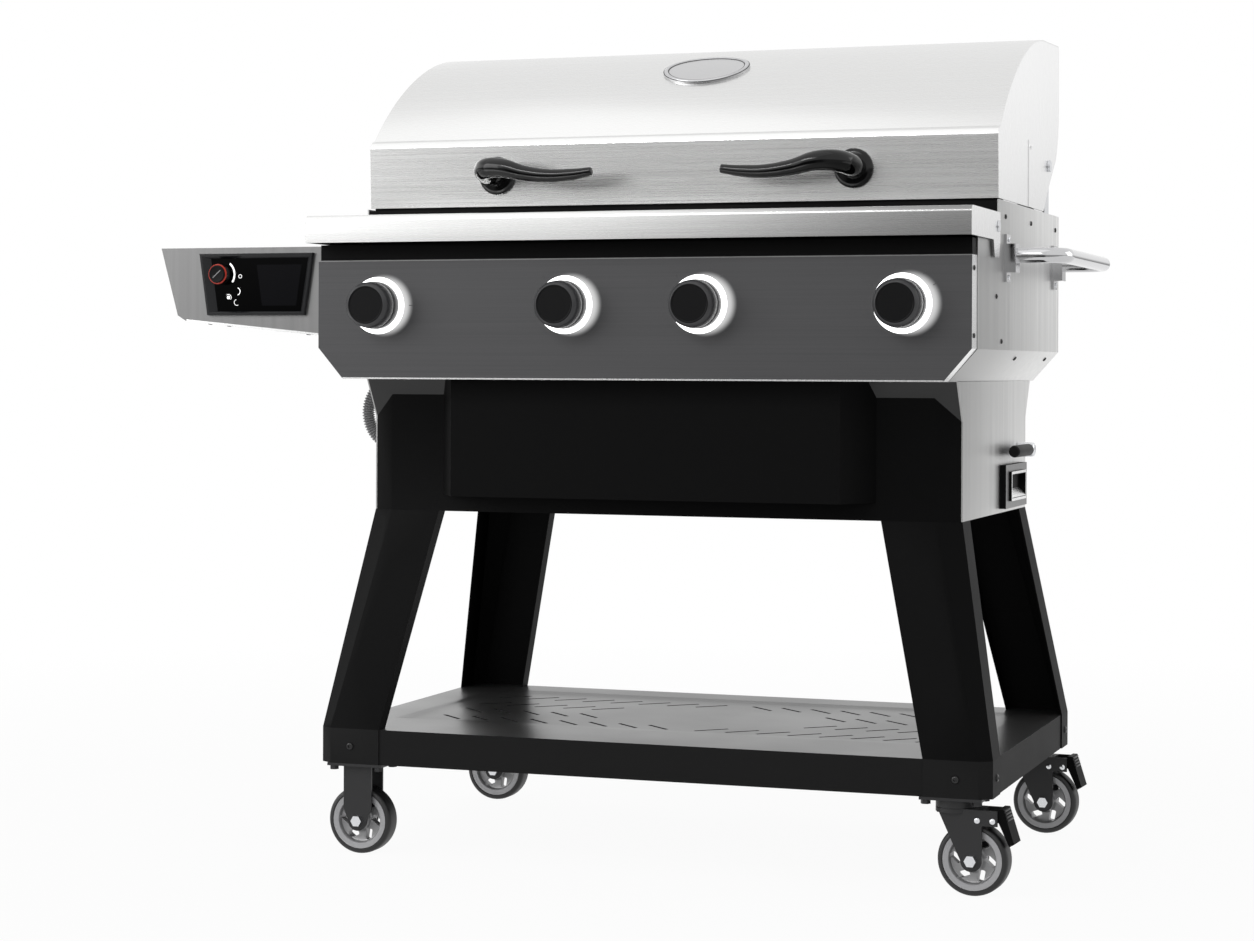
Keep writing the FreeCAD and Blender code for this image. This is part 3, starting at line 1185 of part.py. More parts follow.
def drawer_sides():
    return DRAWER_FRONT_Y + DRAWER_BOX_MARGIN, DRAWER_FRONT_Y + DRAWER_FRONT_WIDTH - DRAWER_BOX_MARGIN


def drawer_bottom():
    return LOWER_BOTTOM + SHEET + DRAWER_LIFT + SEAT_GAP


def drawer_top():
    return DRAWER_FRONT_BOTTOM + DRAWER_FRONT_HEIGHT - DRAWER_BOX_MARGIN


def grease_drawer():
    near, far = drawer_sides()
    bottom = drawer_bottom()
    top = drawer_top()
    inner_x = LOWER_HALF_WIDTH - DRAWER_BOX_LENGTH
    face_x = LOWER_HALF_WIDTH + SEAT_GAP
    bin_shape = box(inner_x, face_x, near, far, bottom, top)
    hollow = box(inner_x + SHEET, face_x - SHEET, near + SHEET, far - SHEET, bottom + SHEET, top)
    bin_shape = bin_shape.cut(hollow)
    plate = box(face_x, face_x + DRAWER_FRONT_THICKNESS, DRAWER_FRONT_Y, DRAWER_FRONT_Y + DRAWER_FRONT_WIDTH,
                DRAWER_FRONT_BOTTOM, DRAWER_FRONT_BOTTOM + DRAWER_FRONT_HEIGHT)
    middle_y = DRAWER_FRONT_Y + DRAWER_FRONT_WIDTH / 2
    middle_z = DRAWER_FRONT_BOTTOM + DRAWER_FRONT_HEIGHT / 2
    outer = face_x + DRAWER_FRONT_THICKNESS
    pocket = box(outer - PULL_DEPTH, outer + PULL_RIM, middle_y - PULL_WIDTH / 2, middle_y + PULL_WIDTH / 2,
                 middle_z - PULL_HEIGHT / 2, middle_z + PULL_HEIGHT / 2)
    rim_half_width = PULL_WIDTH / 2 + PULL_RIM
    rim_half_height = PULL_HEIGHT / 2 + PULL_RIM
    rim = box(outer, outer + PULL_RIM, middle_y - rim_half_width, middle_y + rim_half_width,
              middle_z - rim_half_height, middle_z + rim_half_height)
    return joined([bin_shape, plate, rim]).cut(pocket)


def drawer_runners():
    near, far = drawer_sides()
    inner_x = LOWER_HALF_WIDTH - DRAWER_BOX_LENGTH
    rails = []
    for y in (near, far - DRAWER_BOX_MARGIN):
        rails.append(box(inner_x, LOWER_HALF_WIDTH - SHEET, y, y + DRAWER_BOX_MARGIN, LOWER_BOTTOM + SHEET,
                         LOWER_BOTTOM + SHEET + DRAWER_LIFT))
    return rails


def lever():
    pivot = Vector(LOWER_HALF_WIDTH + SEAT_GAP, LEVER_PIVOT_Y, LEVER_HEIGHT)
    boss = rod(pivot, X_AXIS, LEVER_BOSS_RADIUS, LEVER_STANDOFF + LEVER_GRIP_RADIUS)
    grip_start = Vector(LEVER_X, LEVER_PIVOT_Y, LEVER_HEIGHT)
    grip = rod(grip_start, -Y_AXIS, LEVER_GRIP_RADIUS, LEVER_GRIP_LENGTH)
    tip = Part.makeSphere(LEVER_GRIP_RADIUS, grip_start - Y_AXIS * LEVER_GRIP_LENGTH)
    inside = LOWER_HALF_WIDTH - FLAP_LENGTH
    shaft_start = Vector(inside, LEVER_PIVOT_Y, LEVER_HEIGHT)
    shaft = rod(shaft_start, X_AXIS, LEVER_SHAFT_RADIUS, FLAP_LENGTH + SEAT_GAP)
    flap = box(inside, LOWER_HALF_WIDTH - FLAP_GAP, LEVER_PIVOT_Y - SHEET / 2, LEVER_PIVOT_Y + SHEET / 2,
               LEVER_HEIGHT, LEVER_HEIGHT + FLAP_WIDTH)
    return joined([boss, grip, tip, shaft, flap])


# Legs and shelf

def leg():
    """The front right leg."""
    half = LOWER_HALF_WIDTH
    top = [(half - LEG_TOP_WIDTH, LOWER_FRONT + LEG_FLANGE), (half - LEG_TOP_WIDTH, LOWER_FRONT),
           (half - LOWER_CORNER_WIDTH, LOWER_FRONT), (half, SIDE_FRONT), (half, SIDE_FRONT + LEG_SIDE_FLANGE)]
    inner = FOOT_HALF_WIDTH - FOOT_WIDTH
    corner_y = FOOT_FRONT + FOOT_CORNER_DEPTH
    corner_x = FOOT_HALF_WIDTH - FOOT_CORNER_WIDTH
    foot = [(inner, FOOT_FRONT + LEG_FLANGE), (inner, FOOT_FRONT), (corner_x, FOOT_FRONT),
            (FOOT_HALF_WIDTH, corner_y), (FOOT_HALF_WIDTH, corner_y + LEG_SIDE_FLANGE)]
    wires = [outline_wire("xy", sheet_outline(foot, SHEET), SHELF_TOP),
             outline_wire("xy", sheet_outline(top, SHEET), LOWER_BOTTOM)]
    post = Part.makeLoft(wires, True, True)
    shoe = prism("xy", sheet_outline(foot[1:], SHEET), SHELF_BOTTOM, SHELF_TOP)
    return joined([post, shoe])


def shelf_outline():
    corner_x = FOOT_HALF_WIDTH - FOOT_CORNER_WIDTH
    near = FOOT_FRONT + FOOT_CORNER_DEPTH
    far = FOOT_REAR - FOOT_CORNER_DEPTH
    outer = [(-corner_x, FOOT_FRONT), (corner_x, FOOT_FRONT), (FOOT_HALF_WIDTH, near), (FOOT_HALF_WIDTH, far),
             (corner_x, FOOT_REAR), (-corner_x, FOOT_REAR), (-FOOT_HALF_WIDTH, far), (-FOOT_HALF_WIDTH, near)]
    return inset(outer, SHEET)


def shelf_slot(x, y, angle):
    half = SHELF_SLOT_LENGTH / 2
    slot = box(-half, half, -SHELF_SLOT_WIDTH / 2, SHELF_SLOT_WIDTH / 2,
               SHELF_TOP - SHELF_PAN_DEPTH - 2 * SHEET, SHELF_TOP)
    slot.rotate(Vector(0, 0, 0), Z_AXIS, angle)
    slot.translate(Vector(x, y, 0))
    return slot


def shelf_slots():
    """Slanted slots in rows; the rows in the middle leave the centre of the shelf plain."""
    slots = []
    for row in range(SHELF_SLOT_ROWS):
        y = SHELF_SLOT_FIRST_Y + row * SHELF_SLOT_ROW_STEP
        lean = 1 if row < SHELF_SLOT_ROWS / 2 else -1
        first = 0 if row in (0, SHELF_SLOT_ROWS - 1) else SHELF_SLOT_SHORT_SKIP
        for column in range(first, SHELF_SLOT_COLUMNS):
            x = SHELF_SLOT_FIRST_X + column * SHELF_SLOT_STEP
            slots.append(shelf_slot(x, y, lean * SHELF_SLOT_ANGLE))
            slots.append(shelf_slot(-x, y, -lean * SHELF_SLOT_ANGLE))
    return slots


def shelf_pan(grow, low, high):
    """The shallow pan pressed into the shelf, with sloping sides."""
    half = SHELF_PAN_HALF_WIDTH + grow
    top = [(-half, SHELF_PAN_FRONT - grow), (half, SHELF_PAN_FRONT - grow),
           (half, SHELF_PAN_REAR + grow), (-half, SHELF_PAN_REAR + grow)]
    wires = [outline_wire("xy", inset(top, SHELF_PAN_SLOPE), low), outline_wire("xy", top, high)]
    return Part.makeLoft(wires, True, True)


def bottom_shelf():
    outline = shelf_outline()
    shell = prism("xy", outline, SHELF_BOTTOM, SHELF_TOP)
    pan_bottom = SHELF_TOP - SHELF_PAN_DEPTH
    under = prism("xy", inset(outline, SHEET), SHELF_BOTTOM, SHELF_TOP - SHEET)
    under = under.cut(shelf_pan(SHEET, pan_bottom - SHEET, SHELF_TOP - SHEET))
    shell = shell.cut(under).cut(shelf_pan(0, pan_bottom, SHELF_TOP)).cut(group(shelf_slots()))
    inside = prism("xy", outline, SHELF_BOTTOM, SHELF_TOP)
    gussets = []
    for x0, x1 in ((-FOOT_HALF_WIDTH, GUSSET_LENGTH - FOOT_HALF_WIDTH),
                   (FOOT_HALF_WIDTH - GUSSET_LENGTH, FOOT_HALF_WIDTH)):
        for y0, y1 in ((FOOT_FRONT, FOOT_FRONT + GUSSET_WIDTH), (FOOT_REAR - GUSSET_WIDTH, FOOT_REAR)):
            plate = box(x0, x1, y0, y1, SHELF_BOTTOM, SHELF_BOTTOM + SHEET)
            gussets.append(plate.common(inside))
    return joined([shell] + gussets)


# Casters, drawn with the axle along Y and the wheel's middle at x = 0, y = 0

def wheel_shape():
    half = WHEEL_WIDTH / 2
    shoulder = half - TYRE_SHOULDER
    tread = WHEEL_RADIUS - TYRE_SHOULDER
    tyre = turned([(RIM_RADIUS, -half), (tread, -half), (WHEEL_RADIUS, -shoulder), (WHEEL_RADIUS, shoulder),
                   (tread, half), (RIM_RADIUS, half)], Vector(0, 0, WHEEL_RADIUS), Y_AXIS)
    bore = AXLE_RADIUS + RUNNING_FIT
    web = WEB_THICKNESS / 2
    rim = turned([(bore, -half), (HUB_RADIUS, -half), (HUB_RADIUS, -web), (RIM_RADIUS - RIM_WALL, -web),
                  (RIM_RADIUS - RIM_WALL, -shoulder), (RIM_RADIUS, -shoulder), (RIM_RADIUS, shoulder),
                  (RIM_RADIUS - RIM_WALL, shoulder), (RIM_RADIUS - RIM_WALL, web), (HUB_RADIUS, web),
                  (HUB_RADIUS, half), (bore, half)], Vector(0, 0, WHEEL_RADIUS), Y_AXIS)
    middle = (HUB_RADIUS + RIM_RADIUS - RIM_WALL) / 2
    for count in range(SPOKE_HOLES):
        angle = 2 * math.pi * count / SPOKE_HOLES
        centre = Vector(middle * math.cos(angle), 0, WHEEL_RADIUS + middle * math.sin(angle))
        hole = box(-SPOKE_HOLE_LENGTH / 2, SPOKE_HOLE_LENGTH / 2, -half, half,
                   -SPOKE_HOLE_WIDTH / 2, SPOKE_HOLE_WIDTH / 2)
        hole.rotate(Vector(0, 0, 0), Y_AXIS, SPOKE_HOLE_TILT - math.degrees(angle))
        hole.translate(centre)
        rim = rim.cut(hole)
    return group([rim, tyre])


def axle_shape():
    outer = FORK_HALF + FORK_THICKNESS
    bolt = rod(Vector(0, -outer, WHEEL_RADIUS), Y_AXIS, AXLE_RADIUS, 2 * outer)
    near = nut(Vector(0, -outer, WHEEL_RADIUS), -Y_AXIS, AXLE_NUT_RADIUS, AXLE_NUT_HEIGHT)
    far = nut(Vector(0, outer, WHEEL_RADIUS), Y_AXIS, AXLE_NUT_RADIUS, AXLE_NUT_HEIGHT)
    return joined([bolt, near, far])


def caster_plate(length, width):
    bottom = SHELF_BOTTOM - CASTER_PLATE_THICKNESS
    return box(-length / 2, length / 2, -width / 2, width / 2, bottom, SHELF_BOTTOM)


def cheek(corners):
    """One side of a fork: a round end at the axle, and the corners above it from the right to the left."""
    outline = [(-FORK_END_RADIUS, WHEEL_RADIUS), (FORK_END_RADIUS, WHEEL_RADIUS)] + corners
    plate = prism("xz", outline, FORK_HALF, FORK_HALF + FORK_THICKNESS)
    end = rod(Vector(0, FORK_HALF, WHEEL_RADIUS), Y_AXIS, FORK_END_RADIUS, FORK_THICKNESS)
    plate = joined([plate, end])
    return plate.cut(rod(Vector(0, FORK_HALF, WHEEL_RADIUS), Y_AXIS, AXLE_RADIUS, FORK_THICKNESS))


def plate_nuts():
    """The nuts that hold a caster's plate under the foot."""
    nuts = []
    for side_x in (-1, 1):
        for side_y in (-1, 1):
            start = Vector(side_x * (CASTER_PLATE_LENGTH / 2 - PLATE_NUT_MARGIN),
                           side_y * (CASTER_PLATE_WIDTH / 2 - PLATE_NUT_MARGIN),
                           SHELF_BOTTOM - CASTER_PLATE_THICKNESS)
            nuts.append(nut(start, -Z_AXIS, PLATE_NUT_RADIUS, PLATE_NUT_HEIGHT))
    return nuts


def rigid_caster():
    top = SHELF_BOTTOM - CASTER_PLATE_THICKNESS
    half = RIGID_FORK_WIDTH / 2
    waist = WHEEL_RADIUS + RIGID_FORK_WAIST
    far = cheek([(half, waist), (half, top), (-half, top), (-half, waist)])
    near = far.mirror(Vector(0, 0, 0), Y_AXIS)
    fork = joined([caster_plate(CASTER_PLATE_LENGTH, CASTER_PLATE_WIDTH), far, near] + plate_nuts())
    return [fork, axle_shape()]


def swivel_mount():
    plate = caster_plate(CASTER_PLATE_LENGTH, CASTER_PLATE_WIDTH)
    bottom = SHELF_BOTTOM - CASTER_PLATE_THICKNESS - SWIVEL_RACE_HEIGHT
    race = rod(Vector(0, 0, bottom), Z_AXIS, SWIVEL_RACE_RADIUS, SWIVEL_RACE_HEIGHT)
    pin_bottom = bottom - SWIVEL_GAP - SWIVEL_CROWN_HEIGHT
    pin = rod(Vector(0, 0, pin_bottom), Z_AXIS, KINGPIN_RADIUS, SWIVEL_GAP + SWIVEL_CROWN_HEIGHT)
    return joined([plate, race, pin] + plate_nuts())


def swivel_crown_top():
    return SHELF_BOTTOM - CASTER_PLATE_THICKNESS - SWIVEL_RACE_HEIGHT - SWIVEL_GAP


def swivel_fork():
    """The turning fork of a swivel caster, whose swivel axis is at x = -CASTER_TRAIL."""
    top = swivel_crown_top()
    bottom = top - SWIVEL_CROWN_HEIGHT
    crown = rod(Vector(-CASTER_TRAIL, 0, bottom), Z_AXIS, SWIVEL_RACE_RADIUS, SWIVEL_CROWN_HEIGHT)
    outer = FORK_HALF + FORK_THICKNESS
    reach = -CASTER_TRAIL - SWIVEL_FORK_REACH
    bridge = box(reach, FORK_END_RADIUS, -outer, outer, bottom, top)
    ear_out = PEDAL_PIN_X + PEDAL_EAR_MARGIN
    ear_bottom = PEDAL_PIN_HEIGHT - PEDAL_EAR_MARGIN
    far = cheek([(FORK_END_RADIUS, ear_bottom), (ear_out, ear_bottom), (ear_out, top), (reach, top)])
    near = far.mirror(Vector(0, 0, 0), Y_AXIS)
    fork = joined([crown, bridge, far, near])
    pin_start = Vector(PEDAL_PIN_X, -outer, PEDAL_PIN_HEIGHT)
    pin = rod(pin_start, Y_AXIS, PEDAL_PIN_RADIUS, 2 * outer)
    king_start = Vector(-CASTER_TRAIL, 0, bottom)
    king_bore = rod(king_start, Z_AXIS, KINGPIN_RADIUS + RUNNING_FIT, SWIVEL_CROWN_HEIGHT)
    fork = joined([fork, pin]).cut(king_bore)
    return group([fork, axle_shape()])


def brake_pedal():
    half = FORK_HALF - SEAT_GAP
    barrel_radius = PEDAL_PIN_RADIUS + SHEET
    barrel = rod(Vector(PEDAL_PIN_X, -half, PEDAL_PIN_HEIGHT), Y_AXIS, barrel_radius, 2 * half)
    top = PEDAL_PIN_HEIGHT + barrel_radius
    under = top - PEDAL_THICKNESS
    arm_x = PEDAL_PIN_X + PEDAL_ARM
    toe_x = arm_x + PEDAL_TOE_REACH
    outline = [(PEDAL_PIN_X, under), (arm_x, under), (toe_x, under - PEDAL_TOE_DROP),
               (toe_x + PEDAL_TOE_THICKNESS, under - PEDAL_TOE_DROP + PEDAL_TOE_RISE),
               (arm_x + PEDAL_TOE_THICKNESS, top + PEDAL_TOP_RISE), (arm_x, top + PEDAL_TOP_RISE),
               (arm_x - SHEET, top), (PEDAL_PIN_X, top)]
    blade = prism("xz", outline, -half, half)
    bore = rod(Vector(PEDAL_PIN_X, -half, PEDAL_PIN_HEIGHT), Y_AXIS, PEDAL_PIN_RADIUS + RUNNING_FIT, 2 * half)
    return joined([barrel, blade]).cut(bore)


def at_rigid_caster(shape, y):
    moved = shape.copy()
    moved.translate(Vector(-CASTER_X, y, 0))
    return moved


def at_swivel_caster(shape, y):
    moved = shape.copy()
    moved.translate(Vector(CASTER_TRAIL, 0, 0))
    moved.rotate(Vector(0, 0, 0), Z_AXIS, CASTER_TURN)
    moved.translate(Vector(CASTER_X, y, 0))
    return moved


def at_swivel_mount(shape, y):
    moved = shape.copy()
    moved.translate(Vector(CASTER_X, y, 0))
    return moved


# Ribbed conduit hose

def slope_normal():
    length = math.hypot(BODY_SLOPE_WIDTH, BODY_SLOPE_HEIGHT)
    return Vector(-BODY_SLOPE_HEIGHT / length, 0, -BODY_SLOPE_WIDTH / length)


def upper_gland_seat():
    x = -(BODY_SLOPE_FOOT + BODY_SLOPE_WIDTH / 2)
    return Vector(x, HOSE_PLANE_Y, BODY_BOTTOM + BODY_SLOPE_HEIGHT / 2)


def lower_gland_seat():
    return Vector(-LOWER_HALF_WIDTH, HOSE_PLANE_Y, HOSE_FOOT_HEIGHT)


def conduit_glands():
    upper = nut(upper_gland_seat(), slope_normal(), GLAND_RADIUS, GLAND_HEIGHT)
    lower = nut(lower_gland_seat(), -X_AXIS, GLAND_RADIUS, GLAND_HEIGHT)
    return group([upper, lower])


def hose_route():
    start = upper_gland_seat() + slope_normal() * GLAND_HEIGHT
    end = lower_gland_seat() - X_AXIS * GLAND_HEIGHT
    middle = []
    for out, drop in HOSE_MIDDLE_POINTS:
        middle.append(Vector(-BODY_HALF_WIDTH - out, HOSE_PLANE_Y, BODY_BOTTOM - drop))
    return [start, start + slope_normal() * HOSE_START_RUN] + middle + [end - X_AXIS * HOSE_END_RUN, end]


def hose_edges():
    route = hose_route()
    edges = []
    here = route[0]
    for before, corner, after in zip(route, route[1:], route[2:]):
        into = (corner - before).normalize()
        out = (after - corner).normalize()
        share = HOSE_RUN_SHARE * min((corner - before).Length, (after - corner).Length)
        turn = into.getAngle(out)
        radius = share / math.tan(turn / 2)
        first = corner - into * share
        last = corner + out * share
        inward = (out - into).normalize()
        centre = corner + inward * (radius / math.cos(turn / 2))
        middle = centre - inward * radius
        edges.append(Part.LineSegment(here, first).toShape())
        edges.append(Part.Arc(first, middle, last).toShape())
        print("hose bend radius", round(radius, 1), "mm")
        here = last
    edges.append(Part.LineSegment(here, route[-1]).toShape())
    return edges


def conduit_hose():
    """Rings along the hose's line: each rib is four circles, narrow, wide, wide and narrow."""
    edges = hose_edges()
    length = sum(edge.Length for edge in edges)
    ribs = round(length / HOSE_RIB_PITCH)
    stations = []
    for rib in range(ribs):
        for share, depth in HOSE_RIB_FORM:
            stations.append(((rib + share) * length / ribs, HOSE_RADIUS - depth))
    stations.append((length, HOSE_RADIUS - HOSE_RIB_DEPTH))
    outer = [hose_circle(edges, distance, radius) for distance, radius in stations]
    bore = [hose_circle(edges, distance, HOSE_BORE) for distance, radius in stations]
    hose = Part.makeLoft(outer, True, True).cut(Part.makeLoft(bore, True, True))
    print("hose length", round(length, 1), "mm with", ribs, "ribs and volume", round(hose.Volume), "mm3")
    return hose


def hose_circle(edges, distance, radius):
    for edge in edges:
        if distance <= edge.Length + 1e-6:
            break
        distance -= edge.Length
    parameter = edge.getParameterByLength(min(distance, edge.Length))
    axis = edge.tangentAt(parameter)
    circle = Part.Circle(edge.valueAt(parameter), axis, radius)
    circle.XAxis = Y_AXIS
    return Part.Wire([circle.toShape()])


# Screws

def screw(start, axis, radius, height):
    points = [(0, 0), (radius, 0), (radius, height * SCREW_EDGE_SHARE), (radius * SCREW_FACE_SHARE, height),
              (0, height)]
    return turned(points, start, axis)


def body_screws():
    screws = []
    side_x = BODY_HALF_WIDTH
    top_row = BODY_TOP - TOP_SCREW_DROP
    for y in (LID_FRONT + TOP_SCREW_FRONT, (LID_FRONT + BODY_REAR) / 2, BODY_REAR - TOP_SCREW_REAR):
        screws.append(screw(Vector(side_x, y, top_row), X_AXIS, SCREW_RADIUS, SCREW_HEIGHT))
    for setback, rise in ((SIDE_SCREW_SETBACK, SIDE_SCREW_HIGH),
                          (SIDE_SCREW_SETBACK + SIDE_SCREW_STAGGER, SIDE_SCREW_LOW)):
        start = Vector(side_x, PANEL_DEPTH + setback, BODY_SLOPE_TOP + rise)
        screws.append(screw(start, X_AXIS, SCREW_RADIUS, SCREW_HEIGHT))
    for z in (BODY_SLOPE_TOP + FLANGE_SCREW_MARGIN, PANEL_TOP - FLANGE_SCREW_MARGIN):
        start = Vector(side_x - PANEL_INSET, FLANGE_SCREW_Y, z)
        screws.append(screw(start, X_AXIS, SCREW_RADIUS, SCREW_HEIGHT))
    slope_out = Vector(-slope_normal().x, 0, slope_normal().z)
    for y in (SLOPE_SCREW_FRONT_Y, SLOPE_SCREW_REAR_Y):
        start = Vector(BODY_SLOPE_FOOT + SLOPE_SCREW_SHARE * BODY_SLOPE_WIDTH, y,
                       BODY_BOTTOM + SLOPE_SCREW_SHARE * BODY_SLOPE_HEIGHT)
        screws.append(screw(start, slope_out, SCREW_RADIUS, SCREW_HEIGHT))
    both_sides = screws + [mirrored_x(item) for item in screws]
    for y in (HANDLE_FRONT_Y, HANDLE_REAR_Y):
        for side in (-1, 1):
            start = Vector(side_x + HANDLE_PLATE_THICKNESS, y, HANDLE_HEIGHT + side * HANDLE_BOLT_SPACING / 2)
            both_sides.append(screw(start, X_AXIS, SCREW_RADIUS, SCREW_HEIGHT))
    under_left = (BOX_LEFT + BOX_LEFT_LEAN + BOX_KNUCKLE_WIDTH,
                  BOX_TOP - BOX_LEFT_HEIGHT - BOX_KNUCKLE_HEIGHT)
    under_right = (-BODY_HALF_WIDTH, BOX_TOP - BOX_RIGHT_HEIGHT)
    run = Vector(under_right[0] - under_left[0], 0, under_right[1] - under_left[1])
    down = Vector(run.z, 0, -run.x).normalize()
    for share in BOX_SCREW_SHARES:
        start = Vector(under_left[0], BOX_FRONT + BOX_SCREW_MARGIN, under_left[1]) + run * share
        both_sides.append(screw(start, down, SCREW_RADIUS, SCREW_HEIGHT))
    foot_z = SHELF_BOTTOM + SHELF_HEIGHT / 2
    face_x = FOOT_HALF_WIDTH - FOOT_CORNER_WIDTH - FOOT_SCREW_INSET
    side_y = FOOT_FRONT + FOOT_CORNER_DEPTH + LEG_SIDE_FLANGE / 2
    corner = [screw(Vector(face_x, FOOT_FRONT, foot_z), -Y_AXIS, FOOT_SCREW_RADIUS, FOOT_SCREW_HEIGHT),
              screw(Vector(FOOT_HALF_WIDTH, side_y, foot_z), X_AXIS, FOOT_SCREW_RADIUS, FOOT_SCREW_HEIGHT)]
    corner += [mirrored_x(item) for item in corner]
    corner += [mirrored_y(item) for item in corner]
    return group(both_sides + corner)


# The whole grill

def all_nodes():
    nodes = {}
    right_side = body_side()
    nodes["control_panel"] = control_panel()
    nodes["recess_strip"] = recess_strip()
    nodes["body_side_right"] = right_side
    nodes["body_side_left"] = mirrored_x(right_side)
    nodes["rear_panel"] = rear_panel()
    nodes["body_floor"] = body_floor()
    nodes["firebox_wall"] = firebox_wall()
    nodes["hopper_bin"] = hopper_bin()
    nodes["hopper_lid"] = hopper_lid()
    nodes["lid_skin"] = lid_skin()
    end_plate = lid_end_plate()
    nodes["lid_end_plates"] = group([end_plate, mirrored_x(end_plate)])
    horn = horn_handle()
    nodes["lid_handles"] = group([horn, mirrored_x(horn)])
    nodes["lid_badge"] = lid_badge()
    bracket = lid_hinge_bracket()
    pin = hopper_hinge_pin()
    nodes["lid_hinge_brackets"] = group([bracket, mirrored_x(bracket), pin, mirrored_x(pin)])
    for name, x in zip(("mode_knob", "left_heat_knob", "right_heat_knob", "sear_knob"), KNOB_CENTRES):
        nodes[name] = knob(x)
    nodes["knob_light_rings"] = group([light_ring(x) for x in KNOB_CENTRES])
    nodes["rotary_switches"] = group([rotary_switch(x) for x in KNOB_CENTRES])
    nodes["control_box"] = control_box()
    nodes["control_bezel"] = control_bezel()
    nodes["display_glass"] = display_glass()
    nodes["dial_knob"] = dial_knob()
    brackets = [side_handle_bracket(y) for y in (HANDLE_FRONT_Y, HANDLE_REAR_Y)]
    nodes["side_handle"] = group([side_handle_bar()] + brackets)
    nodes["lower_front"] = lower_front()
    nodes["lower_tray"] = group([lower_tray()] + drawer_runners())
    nodes["lower_side_right"] = lower_side(True)
    nodes["lower_side_left"] = lower_side(False)
    nodes["front_cover"] = front_cover()
    nodes["grease_drawer"] = grease_drawer()
    nodes["lever"] = lever()
    front_leg = leg()
    rear_leg = mirrored_y(front_leg)
    nodes["leg_front_right"] = front_leg
    nodes["leg_front_left"] = mirrored_x(front_leg)
    nodes["leg_rear_right"] = rear_leg
    nodes["leg_rear_left"] = mirrored_x(rear_leg)
    nodes["bottom_shelf"] = bottom_shelf()
    mounts = []
    for place_name, y in (("front", CASTER_FRONT_Y), ("rear", CASTER_REAR_Y)):
        nodes["wheel_" + place_name + "_left"] = at_rigid_caster(wheel_shape(), y)
        nodes["wheel_" + place_name + "_right"] = at_swivel_caster(wheel_shape(), y)
        nodes["swivel_fork_" + place_name] = at_swivel_caster(swivel_fork(), y)
        nodes["brake_pedal_" + place_name] = at_swivel_caster(brake_pedal(), y)
        mounts += [at_rigid_caster(shape, y) for shape in rigid_caster()]
        mounts.append(at_swivel_mount(swivel_mount(), y))
    nodes["caster_mounts"] = group(mounts)
    for side_name, x in (("left", -BURNER_X), ("right", BURNER_X)):
        nodes["auger_" + side_name] = auger(x)
    nodes["auger_tubes"] = group([auger_tube(x) for x in (-BURNER_X, BURNER_X)])
    nodes["auger_motors"] = group([auger_motor(x) for x in (-BURNER_X, BURNER_X)])
    nodes["burner_pots"] = group([burner_pot(x) for x in (-BURNER_X, BURNER_X)])
    nodes["blower_housing"] = blower_housing()
    nodes["blower_rotor"] = blower_rotor()
    nodes["heat_deflector"] = heat_deflector()
    nodes["drip_tray"] = drip_tray()
    nodes["cooking_grates"] = group([cooking_grate(count) for count in range(GRATE_COUNT)])
    nodes["power_inlet"] = power_inlet()
    nodes["conduit_glands"] = conduit_glands()
    nodes["conduit_hose"] = conduit_hose()
    nodes["body_screws"] = body_screws()
    return nodes


def footprint_middle(nodes):
    """The middle of the footprint of every piece but the hose."""
    shapes = [shape for name, shape in nodes.items() if name != "conduit_hose"]
    bounds = group(shapes).optimalBoundingBox(False)
    return Vector((bounds.XMin + bounds.XMax) / 2, (bounds.YMin + bounds.YMax) / 2, bounds.ZMin)


def main():
    nodes = all_nodes()
    middle = footprint_middle(nodes)
    print("footprint middle", middle)
    os.makedirs("parts", exist_ok=True)
    for name, shape in nodes.items():
        moved = shape.copy()
        moved.translate(-middle)
        moved.exportStep("parts/" + name + ".step")


if __name__ == "__main__":
    main()
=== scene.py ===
import json
import math

import bmesh
import bpy
from bpy.props import FloatProperty, FloatVectorProperty, IntProperty, PointerProperty
from mathutils import Matrix, Vector
from mathutils.bvhtree import BVHTree


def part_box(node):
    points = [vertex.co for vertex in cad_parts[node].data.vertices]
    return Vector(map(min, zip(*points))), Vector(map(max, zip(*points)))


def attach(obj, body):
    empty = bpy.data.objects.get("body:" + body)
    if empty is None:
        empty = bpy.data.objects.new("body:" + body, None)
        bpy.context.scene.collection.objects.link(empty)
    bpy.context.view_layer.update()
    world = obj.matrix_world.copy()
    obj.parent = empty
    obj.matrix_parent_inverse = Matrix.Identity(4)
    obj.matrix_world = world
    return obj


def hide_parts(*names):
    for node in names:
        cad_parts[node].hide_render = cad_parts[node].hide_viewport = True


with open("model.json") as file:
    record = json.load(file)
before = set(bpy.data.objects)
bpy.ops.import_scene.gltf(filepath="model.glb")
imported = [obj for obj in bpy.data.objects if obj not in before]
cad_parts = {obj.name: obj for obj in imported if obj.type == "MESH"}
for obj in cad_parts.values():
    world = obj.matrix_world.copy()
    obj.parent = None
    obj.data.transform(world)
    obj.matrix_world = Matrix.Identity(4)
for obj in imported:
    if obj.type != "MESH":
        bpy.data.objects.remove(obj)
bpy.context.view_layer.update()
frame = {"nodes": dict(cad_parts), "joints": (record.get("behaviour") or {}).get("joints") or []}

bl_info = {
    "name": "Pellet grill on a cart",
    "version": (1, 0, 0),
    "blender": (4, 5, 0),
    "location": "View3D > Sidebar > Grill",
    "description": "Dresses the packed pellet grill with its finishes and small pieces",
    "category": "Object",
}

IMAGE_WIDTH = 1254
MM = 0.001
MERGE_DISTANCE = 1e-6
SHARP_ANGLE = math.radians(32)
UP = Vector((0, 0, 1))
FRONT = Vector((0, -1, 0))
RIGHT = Vector((1, 0, 0))
BACK = Vector((0, 1, 0))
IN_PLACE = Matrix.Identity(4)
KNOBS = ("mode_knob", "left_heat_knob", "right_heat_knob", "sear_knob")

